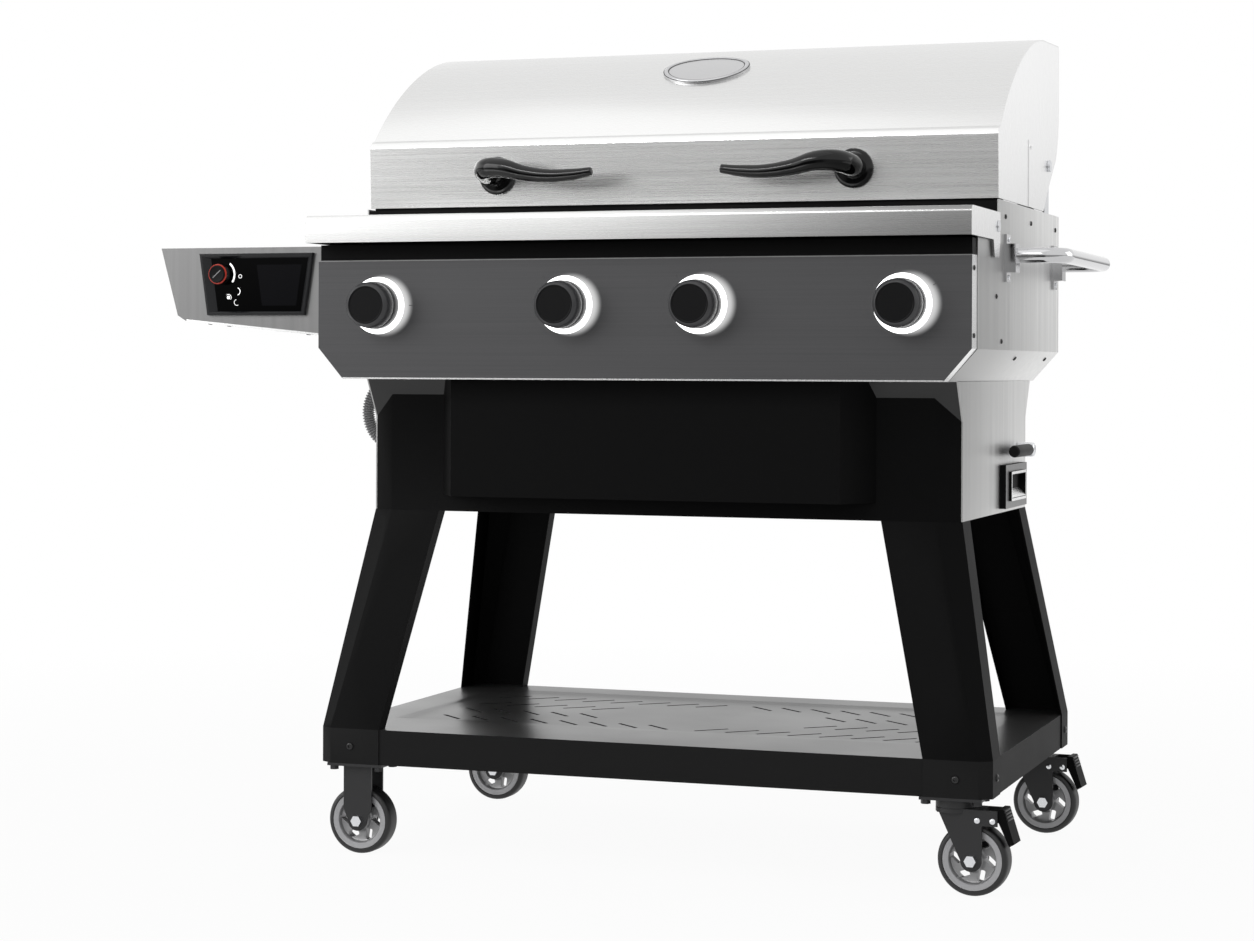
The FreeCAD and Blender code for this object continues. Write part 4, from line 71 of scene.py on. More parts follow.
# The middle of the body and the face of the control panel, from which the pieces below are measured
BODY_X = sum(corner.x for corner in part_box("control_panel")) / 2
PANEL_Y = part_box("control_panel")[0].y

# The line of a horn from its boss to its tip, in millimetres: distance towards the lid's middle, distance
# out from the lid, rise above the boss and radius
HORN_LINE = [
    (0.0, 1.0, 0.0, 16.5),
    (-3.5, 37.5, 2.5, 16.5),
    (8.5, 64.5, 6.3, 16.0),
    (34.2, 75.0, 6.3, 14.5),
    (71.8, 77.3, -2.5, 11.5),
    (107.7, 77.3, -7.0, 10.1),
    (142.0, 75.8, -6.3, 9.0),
    (171.0, 75.0, -2.8, 6.9),
    (176.5, 74.8, -1.8, 6.3),
    (177.8, 74.8, -1.6, 4.6),
]
HORN_BOSS_X = 276.0
HORN_BOSS_HEIGHT = 1013.0
HORN_BOSS_FORM = [(0, 0), (28.4, 0), (29.0, 1.2), (28.6, 3.6), (26.6, 5.8), (23.0, 6.9), (0, 7.0)]

# Turned forms in millimetres: radius, and distance along the axis
KNOB_FORM = [
    (0, 3.3), (33.7, 3.3), (34.5, 4.1), (34.5, 18.4), (34.2, 19.1), (33.3, 19.5), (33.2, 20.5), (33.9, 21.1),
    (34.1, 22.0), (32.7, 38.8), (32.1, 40.0), (28.4, 44.0), (27.4, 44.8), (26.2, 45.0), (25.3, 44.7),
    (24.7, 44.1), (0, 44.1),
]
LIGHT_RING_FORM = [(24.0, 0.1), (40.9, 0.1), (41.5, 0.9), (41.2, 2.2), (40.2, 3.0), (24.0, 3.0)]
TYRE_FORM = [
    (41.4, -13.6), (43.2, -15.4), (45.5, -15.4), (48.0, -14.0), (49.5, -11.6), (49.99, -8.0), (49.99, 8.0),
    (49.5, 11.6), (48.0, 14.0), (45.5, 15.4), (43.2, 15.4), (41.4, 13.6),
]
RIM_FORM = [
    (5.1, -16.0), (13.0, -16.0), (15.2, -15.0), (16.4, -8.6), (18.5, -6.6), (30.0, -6.0), (32.0, -7.0),
    (33.0, -12.6), (34.2, -14.0), (42.0, -14.6), (42.0, 14.6), (34.2, 14.0), (33.0, 12.6), (32.0, 7.0),
    (30.0, 6.0), (18.5, 6.6), (16.4, 8.6), (15.2, 15.0), (13.0, 16.0), (5.1, 16.0),
]
RIM_BAND_INNER = 32.5
SPOKE_HOLES = 6
SPOKE_HOLE_RADIUS = 24.6
SPOKE_HOLE_HALF = (8.2, 4.6)
SPOKE_HOLE_TILT = math.radians(38)
DIAL_FORM = [
    (0, -3.2), (13.8, -3.2), (14.6, -2.4), (14.8, 2.0), (14.8, 9.6), (14.2, 11.0), (12.6, 14.2), (11.6, 15.0),
    (9.0, 14.6), (0, 14.4),
]
LEVER_GRIP_FORM = [
    (0, 9.0), (8.2, 9.0), (9.0, 10.2), (9.0, 80.0), (9.0, 113.6), (8.4, 116.6), (6.6, 118.4), (0, 119.0),
]
LEVER_BOSS_FORM = [
    (0, 0.3), (10.2, 0.3), (11.0, 1.2), (11.0, 22.6), (10.0, 25.4), (7.6, 26.8), (0, 27.0),
]
LEVER_SHAFT_FORM = [(0, 0), (5.0, 0), (5.0, 60.3), (0, 60.3)]
LEVER_BOSS_X = 0.449
LEVER_GRIP_X = 0.467
FLAP_LENGTH = 0.054
FLAP_THICKNESS = 0.002
RIVET_FORM = [(0, 0), (4.2, 0), (4.2, 0.5), (3.4, 1.5), (1.9, 2.1), (0, 2.3)]

# The conduit hose's route in metres, from the upper gland to the lower one
HOSE_ROUTE = [
    (-0.3865, -0.05425, 0.7229),
    (-0.4134, -0.05425, 0.6989),
    (-0.4340, -0.05425, 0.6660),
    (-0.4300, -0.05425, 0.6310),
    (-0.4060, -0.05425, 0.6050),
    (-0.3700, -0.05425, 0.6050),
]

# The marks around the knobs: their distance from the knob's middle in metres, and their angles in degrees
MARK_DISTANCE = 0.052
MARK_ANGLES = [(180, 90, 0), (130, 110, 90, 70, 50), (130, 110, 90, 70, 50), (150, 126, 102, 78, 54, 30)]
KNOB_FACE_RADIUS = 0.0275
KNOB_FACE_OUT = 0.042

# The display in metres: how far its pane and its screen lie in from the bezel's left, bottom, right and top
BEZEL_LEAN = 0.0135
PANE_INSETS = (0.017, 0.0062, 0.0085, 0.0075)
SCREEN_INSETS = (0.092, 0.014, 0.017, 0.017)
DIAL_RING_FORM = [(14.5, 9.9), (15.0, 10.4), (14.9, 11.6), (13.9, 12.8), (13.0, 12.6), (13.2, 11.0)]

# Lit marks on the pane: place right of and above the dial, inner and outer radius, and angles in degrees
PANE_MARKS = [
    (0, 0, 0.0190, 0.0218, -35, 52),
    (0.030, -0.003, 0.0022, 0.0030, 0, 359.9),
    (0.0245, -0.0255, 0.0048, 0.0060, -75, 75),
    (0.0105, -0.0345, 0.0002, 0.0026, 0, 359.9),
    (0.0105, -0.0345, 0.0042, 0.0050, -40, 130),
    (0.0245, -0.0420, 0.0040, 0.0047, 100, 300),
]

# A screw head of radius 1 with a six-sided socket
SCREW_HEAD_FORM = [(1.0, 0.0), (1.0, 0.2), (0.93, 0.37), (0.78, 0.48), (0.6, 0.52)]
SOCKET_HEIGHTS = (0.52, 0.2)
SOCKET_REACH = 0.44

# The casters in metres: rivets and pedal ribs, measured out from the swivel
AXLE_RADIUS = 0.0095
RIVET_REACHES = (0.0365, 0.058)
RIVET_SIDE = 0.0215
PEDAL_TOP = (0.073, 0.017)
PEDAL_BOTTOM = (0.088, -0.030)
PEDAL_RIB_LENGTH = 0.031
PEDAL_RIB_SHARES = (0.06, 0.15, 0.24, 0.33)

# The hems in metres: thickness, the bottom hem's half width, and the heights of the hems and the box's lip
HEM_THICKNESS = 0.0016
BOTTOM_HEM_HALF = 0.448
BOTTOM_HEM_HEIGHT = 0.0022
TOP_HEM_HEIGHT = 0.0014
LIP_HEIGHT = 0.003

# The inlet's contacts in metres: places from its middle, depth from its front, width and length
INLET_PINS = ((-0.007, -0.003), (0.0, 0.004), (0.007, -0.003))
INLET_PIN_DEPTH = 0.0095
INLET_PIN_SIZE = (0.0022, 0.015)

# The pull's pocket in the drawer, in metres
PULL_MIDDLE = (0.4605, 0.5495)
PULL_HALF = (0.0516, 0.0176)
PULL_DEPTH = 0.0108
PULL_WALL = 0.0006
PULL_FOOT_HEIGHTS = (0.012, 0.0012)

# The stage: the camera's place in metres and turns in radians, the picture's drop in pixels, and each lamp's
# name, place, width and height in metres and power in watts
CAMERA_PLACE = (1.3369, -3.8719, 0.7233)
CAMERA_HEADING = 0.338
CAMERA_ROLL = 0.004
PICTURE_DROP = 101.75
SENSOR_WIDTH = 36.0
SOFT_LIGHT = 0.42
WHITE = (1.0, 1.0, 1.0, 1.0)
LAMP_AIM = Vector((0.05, 0.0, 0.7))
LAMPS = [
    ("overhead softbox", (-0.6, -0.9, 3.4), 3.4, 2.6, 10.0),
    ("front strip", (-0.9, -3.0, 2.9), 1.2, 0.14, 14.0),
    ("right softbox", (3.2, 1.6, 1.7), 2.0, 2.0, 17.0),
    ("left fill", (-3.0, -2.6, 1.6), 2.0, 2.0, 25.0),
]


def at(x, y, z):
    """A place given in millimetres from the body's middle, the control panel's face and the floor."""
    return Vector((BODY_X + x * MM, PANEL_Y + y * MM, z * MM))


def joint_line(name):
    for joint in frame["joints"]:
        if joint["name"] == name:
            return Vector(joint["pos_m"]), Vector(joint["axis"]).normalized()
    raise RuntimeError("there is no joint named " + name)


def off_line(place, start, axis):
    """How far a place is from a line."""
    away = place - start
    return (away - axis * away.dot(axis)).length


def sizes():
    return bpy.context.scene.grill_sizes


def tint(name):
    return tuple(getattr(bpy.context.scene.grill_finishes, name))


def scaled(colour, share):
    return tuple(min(channel * share, 1.0) for channel in colour)


# Properties

def colour_property(name, description, default):
    return FloatVectorProperty(
        name=name, description=description, default=default, size=3, subtype="COLOR", min=0.0, max=1.0)


def length_property(name, description, default):
    return FloatProperty(
        name=name, description=description, default=default, subtype="DISTANCE", unit="LENGTH", min=0.0)


def count_property(name, description, default, least):
    return IntProperty(name=name, description=description, default=default, min=least)


class GrillFinishes(bpy.types.PropertyGroup):
    """Colours of the grill's finishes"""
    stainless: colour_property("Lid steel", "Brushed steel of the lid and hopper ledge", (0.74, 0.74, 0.735))
    side_steel: colour_property("Side steel", "Brushed steel of the side plates", (0.35, 0.35, 0.347))
    # The end steel is also used as painted highlight on the panel's and the hopper lid's edges, the hems and
    # the pull's foot, and for the frame around the drawer's pull
    end_steel: colour_property("End steel", "Bright steel of the lid's end plates", (0.86, 0.86, 0.86))
    panel_steel: colour_property("Panel steel", "Dark brushed steel of the panel", (0.082, 0.082, 0.084))
    box_steel: colour_property("Box steel", "Brushed steel of the control box", (0.21, 0.21, 0.21))
    polished: colour_property("Polished steel", "Side handle and badge rim", (0.55, 0.55, 0.56))
    badge: colour_property("Badge plate", "Bare plate of the badge", (0.58, 0.58, 0.585))
    zinc: colour_property("Zinc", "Plated nuts, pins and rivets", (0.70, 0.71, 0.73))
    powder: colour_property("Powder coat", "Satin black legs and lower front", (0.0017, 0.0017, 0.0018))
    shelf: colour_property("Shelf top", "Black of the shelf's top, with more sheen", (0.03, 0.03, 0.0305))
    shelf_rim: colour_property("Shelf rim", "Black of the shelf's folded rim", (0.018, 0.018, 0.0182))
    flare: colour_property("Flare", "Black of the flare under the control panel", (0.006, 0.006, 0.0062))
    fork: colour_property("Forks", "Dark grey forks of the casters", (0.028, 0.028, 0.029))
    pedal: colour_property("Pedals", "Black plastic of the brake pedals", (0.004, 0.004, 0.0042))
    strip: colour_property("Recess strip", "Matt black strip over the panel", (0.0012, 0.0012, 0.0013))
    knob: colour_property("Knob skirts", "Dark grey plastic of the knobs", (0.045, 0.045, 0.048))
    knob_face: colour_property("Knob faces", "Black plastic of the knobs' faces", (0.0045, 0.0045, 0.005))
    grip: colour_property("Lever grip", "Matt black rubber of the lever", (0.007, 0.007, 0.0072))
    horn: colour_property("Horn grips", "Gloss black grips", (0.002, 0.002, 0.0022))
    bezel: colour_property("Bezel", "Black frame of the display", (0.006, 0.0064, 0.008))
    glass: colour_property("Display glass", "Dark glass of the display", (0.0012, 0.0012, 0.0014))
    screen: colour_property("Screen", "Dark screen behind the glass", (0.0045, 0.0045, 0.0058))
    light: colour_property("Ring light", "Lit rings behind the knobs", (1.0, 1.0, 1.0))
    dial_ring: colour_property("Dial ring", "Coloured ring of the dial", (0.62, 0.035, 0.012))
    print_grey: colour_property("Scale marks", "Printed marks around the knobs", (0.045, 0.045, 0.047))
    tyre: colour_property("Tyre", "Rubber of the casters", (0.009, 0.009, 0.0095))
    rim: colour_property("Rim", "Grey webs of the casters", (0.33, 0.33, 0.335))
    rim_band: colour_property("Rim band", "Lighter outer bands of the rims", (0.42, 0.42, 0.43))
    galvanised: colour_property("Galvanised", "Plain zinc sheet inside", (0.45, 0.46, 0.47))
    fire_iron: colour_property("Fire iron", "Dark iron near the fire", (0.035, 0.034, 0.033))
    hose: colour_property("Hose", "Ribbed conduit", (0.3, 0.3, 0.305))
    brass: colour_property("Inlet pins", "Contacts of the power inlet", (0.60, 0.44, 0.18))
    floor: colour_property("Floor", "Pale studio floor", (0.86, 0.86, 0.86))


class GrillSizes(bpy.types.PropertyGroup):
    """Sizes of the grill's small pieces and of the stage"""
    turn_steps: count_property("Turned steps", "Faces around a turned piece", 72, 12)
    hose_radius: length_property("Hose radius", "Outer radius of the hose over its ribs", 0.010)
    hose_rib_depth: length_property("Hose rib depth", "Depth of the grooves between the ribs", 0.003)
    hose_ribs: count_property("Hose ribs", "Ribs along the whole hose", 44, 4)
    hose_sides: count_property("Hose sides", "Faces around the hose", 28, 8)
    badge_rim: length_property("Badge rim", "Radius of the badge's raised rim", 0.0032)
    bezel_recess: length_property("Bezel recess", "Depth of the display's glass below its frame", 0.0038)
    tick_length: length_property("Tick length", "Length of the marks around the knobs", 0.006)
    tick_width: length_property("Tick width", "Width of the marks around the knobs", 0.0011)
    pedal_rib_width: length_property("Pedal rib", "Width of the ribs on the brake pedals", 0.0024)
    head_scale: FloatProperty(
        name="Screw heads", description="Size beside the solids' heads", default=0.8, min=0.1)
    floor_size: length_property("Floor size", "Width of the studio floor", 40.0)
    floor_front: length_property("Floor front", "How far the floor reaches in front of the grill", 1.6)
    camera_lens: FloatProperty(
        name="Lens", description="Focal length", default=76.98, min=1.0, subtype="DISTANCE_CAMERA")


# Shader nodes

class Sketch:
    """Adds nodes to one node tree and links what is given as a socket."""

    def __init__(self, tree):
        self.tree = tree

    def add(self, kind, values=None, **settings):
        node = self.tree.nodes.new(kind)
        for name, value in settings.items():
            setattr(node, name, value)
        for name, value in (values or {}).items():
            if isinstance(value, bpy.types.NodeSocket):
                self.tree.links.new(value, node.inputs[name])
            else:
                node.inputs[name].default_value = value
        return node

    def mix(self, factor, first, second, blend="MIX"):
        node = self.tree.nodes.new("ShaderNodeMix")
        node.data_type = "RGBA"
        node.blend_type = blend
        for index, value in ((0, factor), (6, first), (7, second)):
            if isinstance(value, bpy.types.NodeSocket):
                self.tree.links.new(value, node.inputs[index])
            else:
                node.inputs[index].default_value = value if index == 0 else tuple(value) + (1.0,)
        return node.outputs[2]

    def ramp(self, value, low, high, start=0.0, end=1.0):
        values = {"Value": value, "From Min": start, "From Max": end, "To Min": low, "To Max": high}
        return self.add("ShaderNodeMapRange", values, interpolation_type="SMOOTHSTEP").outputs["Result"]

    def math(self, operation, first, second):
        return self.add("ShaderNodeMath", {0: first, 1: second}, operation=operation).outputs[0]


def effect_group(name, inputs, outputs):
    tree = bpy.data.node_groups.new(name, "ShaderNodeTree")
    for label, kind in inputs:
        tree.interface.new_socket(label, in_out="INPUT", socket_type=kind)
    for label in outputs:
        tree.interface.new_socket(label, in_out="OUTPUT", socket_type="NodeSocketFloat")
    return tree


def brushed_lines():
    """Long fine lines, and broad soft patches, for brushed metal."""
    tree = bpy.data.node_groups.get("brushed_lines")
    if tree:
        return tree
    inputs = [("Coordinates", "NodeSocketVector"), ("Line scale", "NodeSocketVector")]
    tree = effect_group("brushed_lines", inputs, ["Lines", "Patches"])
    sketch = Sketch(tree)
    start = sketch.add("NodeGroupInput")
    stretched = sketch.add("ShaderNodeVectorMath", {0: start.outputs[0], 1: start.outputs[1]},
                           operation="MULTIPLY")
    lines = sketch.add("ShaderNodeTexNoise", {"Vector": stretched.outputs[0], "Scale": 1.0, "Detail": 5.0,
                                              "Roughness": 0.72})
    patches = sketch.add("ShaderNodeTexNoise", {"Vector": start.outputs[0], "Scale": 2.2, "Detail": 2.0})
    sketch.add("NodeGroupOutput", {"Lines": lines.outputs[0], "Patches": patches.outputs[0]})
    return tree


def fine_grain():
    """Small even grain with broad soft patches, for powder coat, plastic, rubber and iron."""
    tree = bpy.data.node_groups.get("fine_grain")
    if tree:
        return tree
    inputs = [("Coordinates", "NodeSocketVector"), ("Grain scale", "NodeSocketFloat")]
    tree = effect_group("fine_grain", inputs, ["Grain", "Patches"])
    sketch = Sketch(tree)
    start = sketch.add("NodeGroupInput")
    grain = sketch.add("ShaderNodeTexNoise", {"Vector": start.outputs[0], "Scale": start.outputs[1],
                                              "Detail": 3.0, "Roughness": 0.6})
    patches = sketch.add("ShaderNodeTexNoise", {"Vector": start.outputs[0], "Scale": 5.0, "Detail": 3.0})
    sketch.add("NodeGroupOutput", {"Grain": grain.outputs[0], "Patches": patches.outputs[0]})
    return tree


def blank_finish(name):
    finish = bpy.data.materials.new(name)
    finish.use_nodes = True
    sketch = Sketch(finish.node_tree)
    shader = finish.node_tree.nodes["Principled BSDF"]
    spot = sketch.add("ShaderNodeTexCoord").outputs["Object"]
    return finish, sketch, shader, spot


def feed(sketch, shader, **values):
    for name, value in values.items():
        socket = shader.inputs[name.replace("_", " ").title().replace("Ior", "IOR")]
        if isinstance(value, bpy.types.NodeSocket):
            sketch.tree.links.new(value, socket)
        elif isinstance(value, tuple):
            socket.default_value = value + (1.0,)
        else:
            socket.default_value = value


def relief_from(sketch, height, depth):
    values = {"Height": height, "Strength": depth, "Distance": 0.0003}
    return sketch.add("ShaderNodeBump", values).outputs[0]


def brushed_finish(name, tint_name, roughness, line_scale, depth=0.1, spread=0.1, fade=None):
    """Brushed metal whose lines run along the axis with the smallest line scale.

    A fade is a painted reflection gradient along an axis: the axis, the places where it starts and ends, and
    the tone at its end.
    """
    colour = tint(tint_name)
    finish, sketch, shader, spot = blank_finish(name)
    values = {"Coordinates": spot, "Line scale": line_scale}
    lines = sketch.add("ShaderNodeGroup", values, node_tree=brushed_lines())
    tone = sketch.mix(lines.outputs["Lines"], scaled(colour, 1 - spread), scaled(colour, 1 + spread))
    patchy = sketch.mix(lines.outputs["Patches"], scaled(colour, 0.93), scaled(colour, 1.07))
    shade = sketch.mix(0.35, tone, patchy)
    # Painted reflection: the colour is multiplied by a ramp along one axis, up to the fade's last tone
    if fade:
        axis, start, end, last_tone = fade
        place = sketch.add("ShaderNodeSeparateXYZ", {0: spot}).outputs[axis]
        shade = sketch.mix(1.0, shade, sketch.ramp(place, 1.0, last_tone, start, end), "MULTIPLY")
    rough = sketch.ramp(lines.outputs["Lines"], roughness - 0.07, roughness + 0.09)
    relief = relief_from(sketch, lines.outputs["Lines"], depth)
    feed(sketch, shader, base_color=shade, roughness=rough, normal=relief, metallic=1.0)
    return finish


def grainy_finish(name, tint_name, roughness, grain_scale, depth=0.15, spread=0.15, **plain):
    """Paint, plastic, rubber or iron with a fine grain."""
    colour = tint(tint_name)
    finish, sketch, shader, spot = blank_finish(name)
    values = {"Coordinates": spot, "Grain scale": grain_scale}
    grain = sketch.add("ShaderNodeGroup", values, node_tree=fine_grain())
    speck = sketch.mix(grain.outputs["Grain"], scaled(colour, 1 - spread), scaled(colour, 1 + spread))
    broad = sketch.mix(grain.outputs["Patches"], scaled(colour, 0.88), scaled(colour, 1.12))
    shade = sketch.mix(0.4, speck, broad)
    rough = sketch.ramp(grain.outputs["Patches"], roughness - 0.05, roughness + 0.05)
    relief = relief_from(sketch, grain.outputs["Grain"], depth)
    feed(sketch, shader, base_color=shade, roughness=rough, normal=relief, **plain)
    return finish


def painted_ring_glow(finish, centres, inner, outer, strength):
    """Paints a soft glow around each centre as emission on the surface: a painted pool of light standing in
    for the light a ring throws on it.
    """
    sketch = Sketch(finish.node_tree)
    spot = sketch.add("ShaderNodeTexCoord").outputs["Object"]
    glow = 0.0
    for centre in centres:
        away = sketch.add("ShaderNodeVectorMath", {0: spot, 1: centre}, operation="DISTANCE").outputs["Value"]
        glow = sketch.math("MAXIMUM", glow, sketch.ramp(away, strength, 0.0, inner, outer))
    feed(sketch, finish.node_tree.nodes["Principled BSDF"], emission_color=glow, emission_strength=1.0)
    return finish


def lit_finish(name, tint_name, strength):
    """White plastic lit from inside."""
    colour = tint(tint_name)
    finish, sketch, shader, spot = blank_finish(name)
    values = {"Coordinates": spot, "Grain scale": 60.0}
    grain = sketch.add("ShaderNodeGroup", values, node_tree=fine_grain())
    glow = sketch.mix(grain.outputs["Patches"], scaled(colour, 0.94), colour)
    feed(sketch, shader, base_color=colour, roughness=0.4, emission_color=glow, emission_strength=strength)
    return finish


def finish_table():
    """Every finish by name, made once."""
    # The painted glow on the panel is centred a little right of each knob
    glow_shift = RIGHT * 0.010
    knob_centres = [joint_line(name + "_turn")[0] + glow_shift for name in KNOBS]
    along_x = (2.5, 600.0, 600.0)
    along_y = (600.0, 2.5, 600.0)
    along_z = (110.0, 110.0, 1.4)
    fine_lines = (1200.0, 1200.0, 6.0)
    smooth = {"depth": 0.015, "spread": 0.06}
    return {
        "stainless": brushed_finish("brushed_stainless", "stainless", 0.26, along_x, **smooth),
        # The hopper lid's steel is painted darker towards its right end, to a third of its tone: a painted
        # reflection gradient
        "hopper_steel_painted_reflection": brushed_finish("hopper_stainless", "stainless", 0.26, along_x,
                                       fade=("X", -0.05, 0.6, 0.33), **smooth),
        "end_steel": brushed_finish("end_stainless", "end_steel", 0.26, fine_lines, depth=0.01, spread=0.02),
        # The side plates are painted brighter towards the rear, up to 2.2 times at the back: a painted
        # reflection gradient
        "side_steel": brushed_finish("side_stainless", "side_steel", 0.36, along_z, depth=0.03, spread=0.42,
                                     fade=("Y", -0.3, 0.35, 2.2)),
        "panel_steel": painted_ring_glow(
            brushed_finish("panel_steel", "panel_steel", 0.5, along_x, depth=0.05, spread=0.4),
            knob_centres, 0.034, 0.047, 0.6),
        "box_steel": brushed_finish("box_steel", "box_steel", 0.38, along_z, depth=0.03, spread=0.3),
        "polished": brushed_finish("polished_steel", "polished", 0.08, along_y, depth=0.01, spread=0.05),
        "chrome": grainy_finish("badge_chrome", "polished", 0.11, 300.0, depth=0.03, spread=0.04,
                                metallic=1.0),
        "badge": grainy_finish("badge_plate", "badge", 0.3, 500.0, depth=0.05, spread=0.15, metallic=1.0),
        "zinc": grainy_finish("zinc_plate", "zinc", 0.28, 900.0, depth=0.05, spread=0.08, metallic=1.0),
        "powder": grainy_finish("black_powder", "powder", 0.56, 1500.0, depth=0.2, spread=0.25,
                                specular_ior_level=0.07),
        # The shelf rim's black is lighter than the legs' powder coat, and is also the painted lighter tone of
        # the legs' feet
        "shelf_rim": grainy_finish("shelf_rim_powder", "shelf_rim", 0.56, 1500.0, depth=0.2, spread=0.25,
                                   specular_ior_level=0.05),
        # The flare's lighter black is a painted reflection of the floor
        "flare": grainy_finish("flare_powder", "flare", 0.42, 1500.0, depth=0.1, spread=0.25),
        "fork": grainy_finish("fork_black", "fork", 0.42, 1500.0, depth=0.12, specular_ior_level=0.3),
        "pedal": grainy_finish("pedal_plastic", "pedal", 0.5, 1500.0, depth=0.12, specular_ior_level=0.04),
        # Painted sheen: the shelf's top is a lighter black than the rest of its powder coat
        "shelf": grainy_finish("shelf_powder", "shelf", 0.31, 1500.0, depth=0.08, spread=0.25,
                               specular_ior_level=1.0),
        "strip": grainy_finish("strip_black", "strip", 0.6, 1500.0, depth=0.15, specular_ior_level=0.1),
        "knob": grainy_finish("knob_plastic", "knob", 0.4, 2200.0, depth=0.12),
        "knob_face": grainy_finish("knob_face", "knob_face", 0.42, 2200.0, depth=0.1,
                                   specular_ior_level=0.12),
        "grip": grainy_finish("grip_rubber", "grip", 0.5, 1600.0, depth=0.15, specular_ior_level=0.15),
        "horn": grainy_finish("horn_gloss", "horn", 0.08, 40.0, depth=0.0, specular_ior_level=0.35),
        "screw": grainy_finish("screw_black", "horn", 0.3, 900.0, depth=0.05),
        "bezel": grainy_finish("bezel_plastic", "bezel", 0.22, 1800.0, depth=0.04, specular_ior_level=0.3),
        "glass": grainy_finish("display_glass", "glass", 0.08, 30.0, depth=0.0, specular_ior_level=0.04),
        "screen": grainy_finish("screen_glass", "screen", 0.12, 30.0, depth=0.0, specular_ior_level=0.06),
        "light": lit_finish("ring_light", "light", 2.6),
        "mark_light": lit_finish("mark_light", "light", 0.9),
        "dial_ring": grainy_finish("dial_ring", "dial_ring", 0.3, 900.0, depth=0.05),
        "marks": grainy_finish("scale_marks", "print_grey", 0.5, 1200.0),
        "tyre": grainy_finish("caster_rubber", "tyre", 0.5, 1400.0, depth=0.2),
        "rim": grainy_finish("rim_web", "rim", 0.38, 1600.0, depth=0.12, metallic=0.3),
        "rim_band": grainy_finish("rim_band", "rim_band", 0.42, 1600.0, depth=0.12, metallic=0.3),
        "galvanised": grainy_finish("galvanised", "galvanised", 0.4, 70.0, depth=0.1, spread=0.2,
                                    metallic=0.9),
        "fire_iron": grainy_finish("fire_iron", "fire_iron", 0.62, 500.0, depth=0.4, spread=0.3),
        "hose": grainy_finish("hose_plastic", "hose", 0.36, 1200.0, depth=0.1),
        "brass": grainy_finish("inlet_brass", "brass", 0.3, 900.0, depth=0.05, metallic=1.0),
    }


FINISHES = {}

# Which finish each carried-over solid gets
NODE_FINISHES = {
    "stainless": ["lid_skin"],
    "hopper_steel_painted_reflection": ["hopper_lid"],
    "end_steel": ["lid_end_plates"],
    "side_steel": ["body_side_left", "body_side_right", "lower_side_left", "lower_side_right"],
    "panel_steel": ["control_panel"],
    "box_steel": ["control_box", "grease_drawer"],
    "polished": ["side_handle"],
    "badge": ["lid_badge"],
    "zinc": ["lid_hinge_brackets", "conduit_glands", "auger_left", "auger_right"],
    "powder": ["lower_front", "lower_tray", "front_cover", "leg_front_left", "leg_front_right",
               "leg_rear_left", "leg_rear_right", "bottom_shelf", "rear_panel"],
    "strip": ["recess_strip", "firebox_wall"],
    "knob_face": ["rotary_switches", "power_inlet"],
    "pedal": ["brake_pedal_front", "brake_pedal_rear"],
    "galvanised": ["body_floor", "hopper_bin", "auger_tubes", "auger_motors", "blower_housing",
                   "blower_rotor", "drip_tray"],
    "fire_iron": ["burner_pots", "heat_deflector", "cooking_grates"],
}


# Meshes

def linked(name, data):
    """A new object with its data, put in the scene."""
    item = bpy.data.objects.new(name, data)
    bpy.context.scene.collection.objects.link(item)
    return item


def circle(steps):
    """The cosine and the sine of evenly spaced angles, once around."""
    angles = [2 * math.pi * step / steps for step in range(steps)]
    return [(math.cos(angle), math.sin(angle)) for angle in angles]


def block(width, depth, height):
    """A box about the origin."""
    shell = bmesh.new()
    bmesh.ops.create_cube(shell, size=1.0)
    bmesh.ops.scale(shell, vec=(width, depth, height), verts=shell.verts)
    return shell


def skinned(rings, cap_start=False, cap_end=False, loop=False):
    """A bmesh from rings with the same number of points, joined in order."""
    shell = bmesh.new()
    rows = [[shell.verts.new(point) for point in ring] for ring in rings]
    pairs = list(zip(rows, rows[1:]))
    if loop:
        pairs.append((rows[-1], rows[0]))
    for first, second in pairs:
        for index in range(len(first)):
            after = (index + 1) % len(first)
            shell.faces.new((first[index], first[after], second[after], second[index]))
    if cap_start:
        shell.faces.new(rows[0][::-1])
    if cap_end:
        shell.faces.new(rows[-1])
    bmesh.ops.recalc_face_normals(shell, faces=shell.faces)
    return shell


def turned(form, steps, closed=False):
    """A bmesh turned about Z from (radius, distance) points in millimetres, closed to a ring or capped."""
    rings = []
    for radius, distance in form:
        if radius > 0:
            rings.append([(radius * MM * x, radius * MM * y, distance * MM) for x, y in circle(steps)])
    return skinned(rings, cap_start=not closed, cap_end=not closed, loop=closed)


def standing(place, axis):
    """The matrix that stands a shape made along Z on a place, along an axis."""
    return Matrix.Translation(place) @ UP.rotation_difference(axis).to_matrix().to_4x4()


def shape_edges(mesh):
    """Smooth faces with sharp edges where the shape turns hard."""
    shell = bmesh.new()
    shell.from_mesh(mesh)
    for face in shell.faces:
        face.smooth = True
    for edge in shell.edges:
        edge.smooth = len(edge.link_faces) == 2 and edge.calc_face_angle(0.0) < SHARP_ANGLE
    shell.to_mesh(mesh)
    shell.free()


def mesh_of(shells, name):
    """One mesh from several bmeshes, each given with its matrix and the index of its finish."""
    whole = bmesh.new()
    for shell, matrix, index in shells:
        part = bpy.data.meshes.new(name)
        shell.transform(matrix)
        for face in shell.faces:
            face.material_index = index
        shell.to_mesh(part)
        whole.from_mesh(part)
        bpy.data.meshes.remove(part)
    mesh = bpy.data.meshes.new(name)
    whole.to_mesh(mesh)
    whole.free()
    return mesh


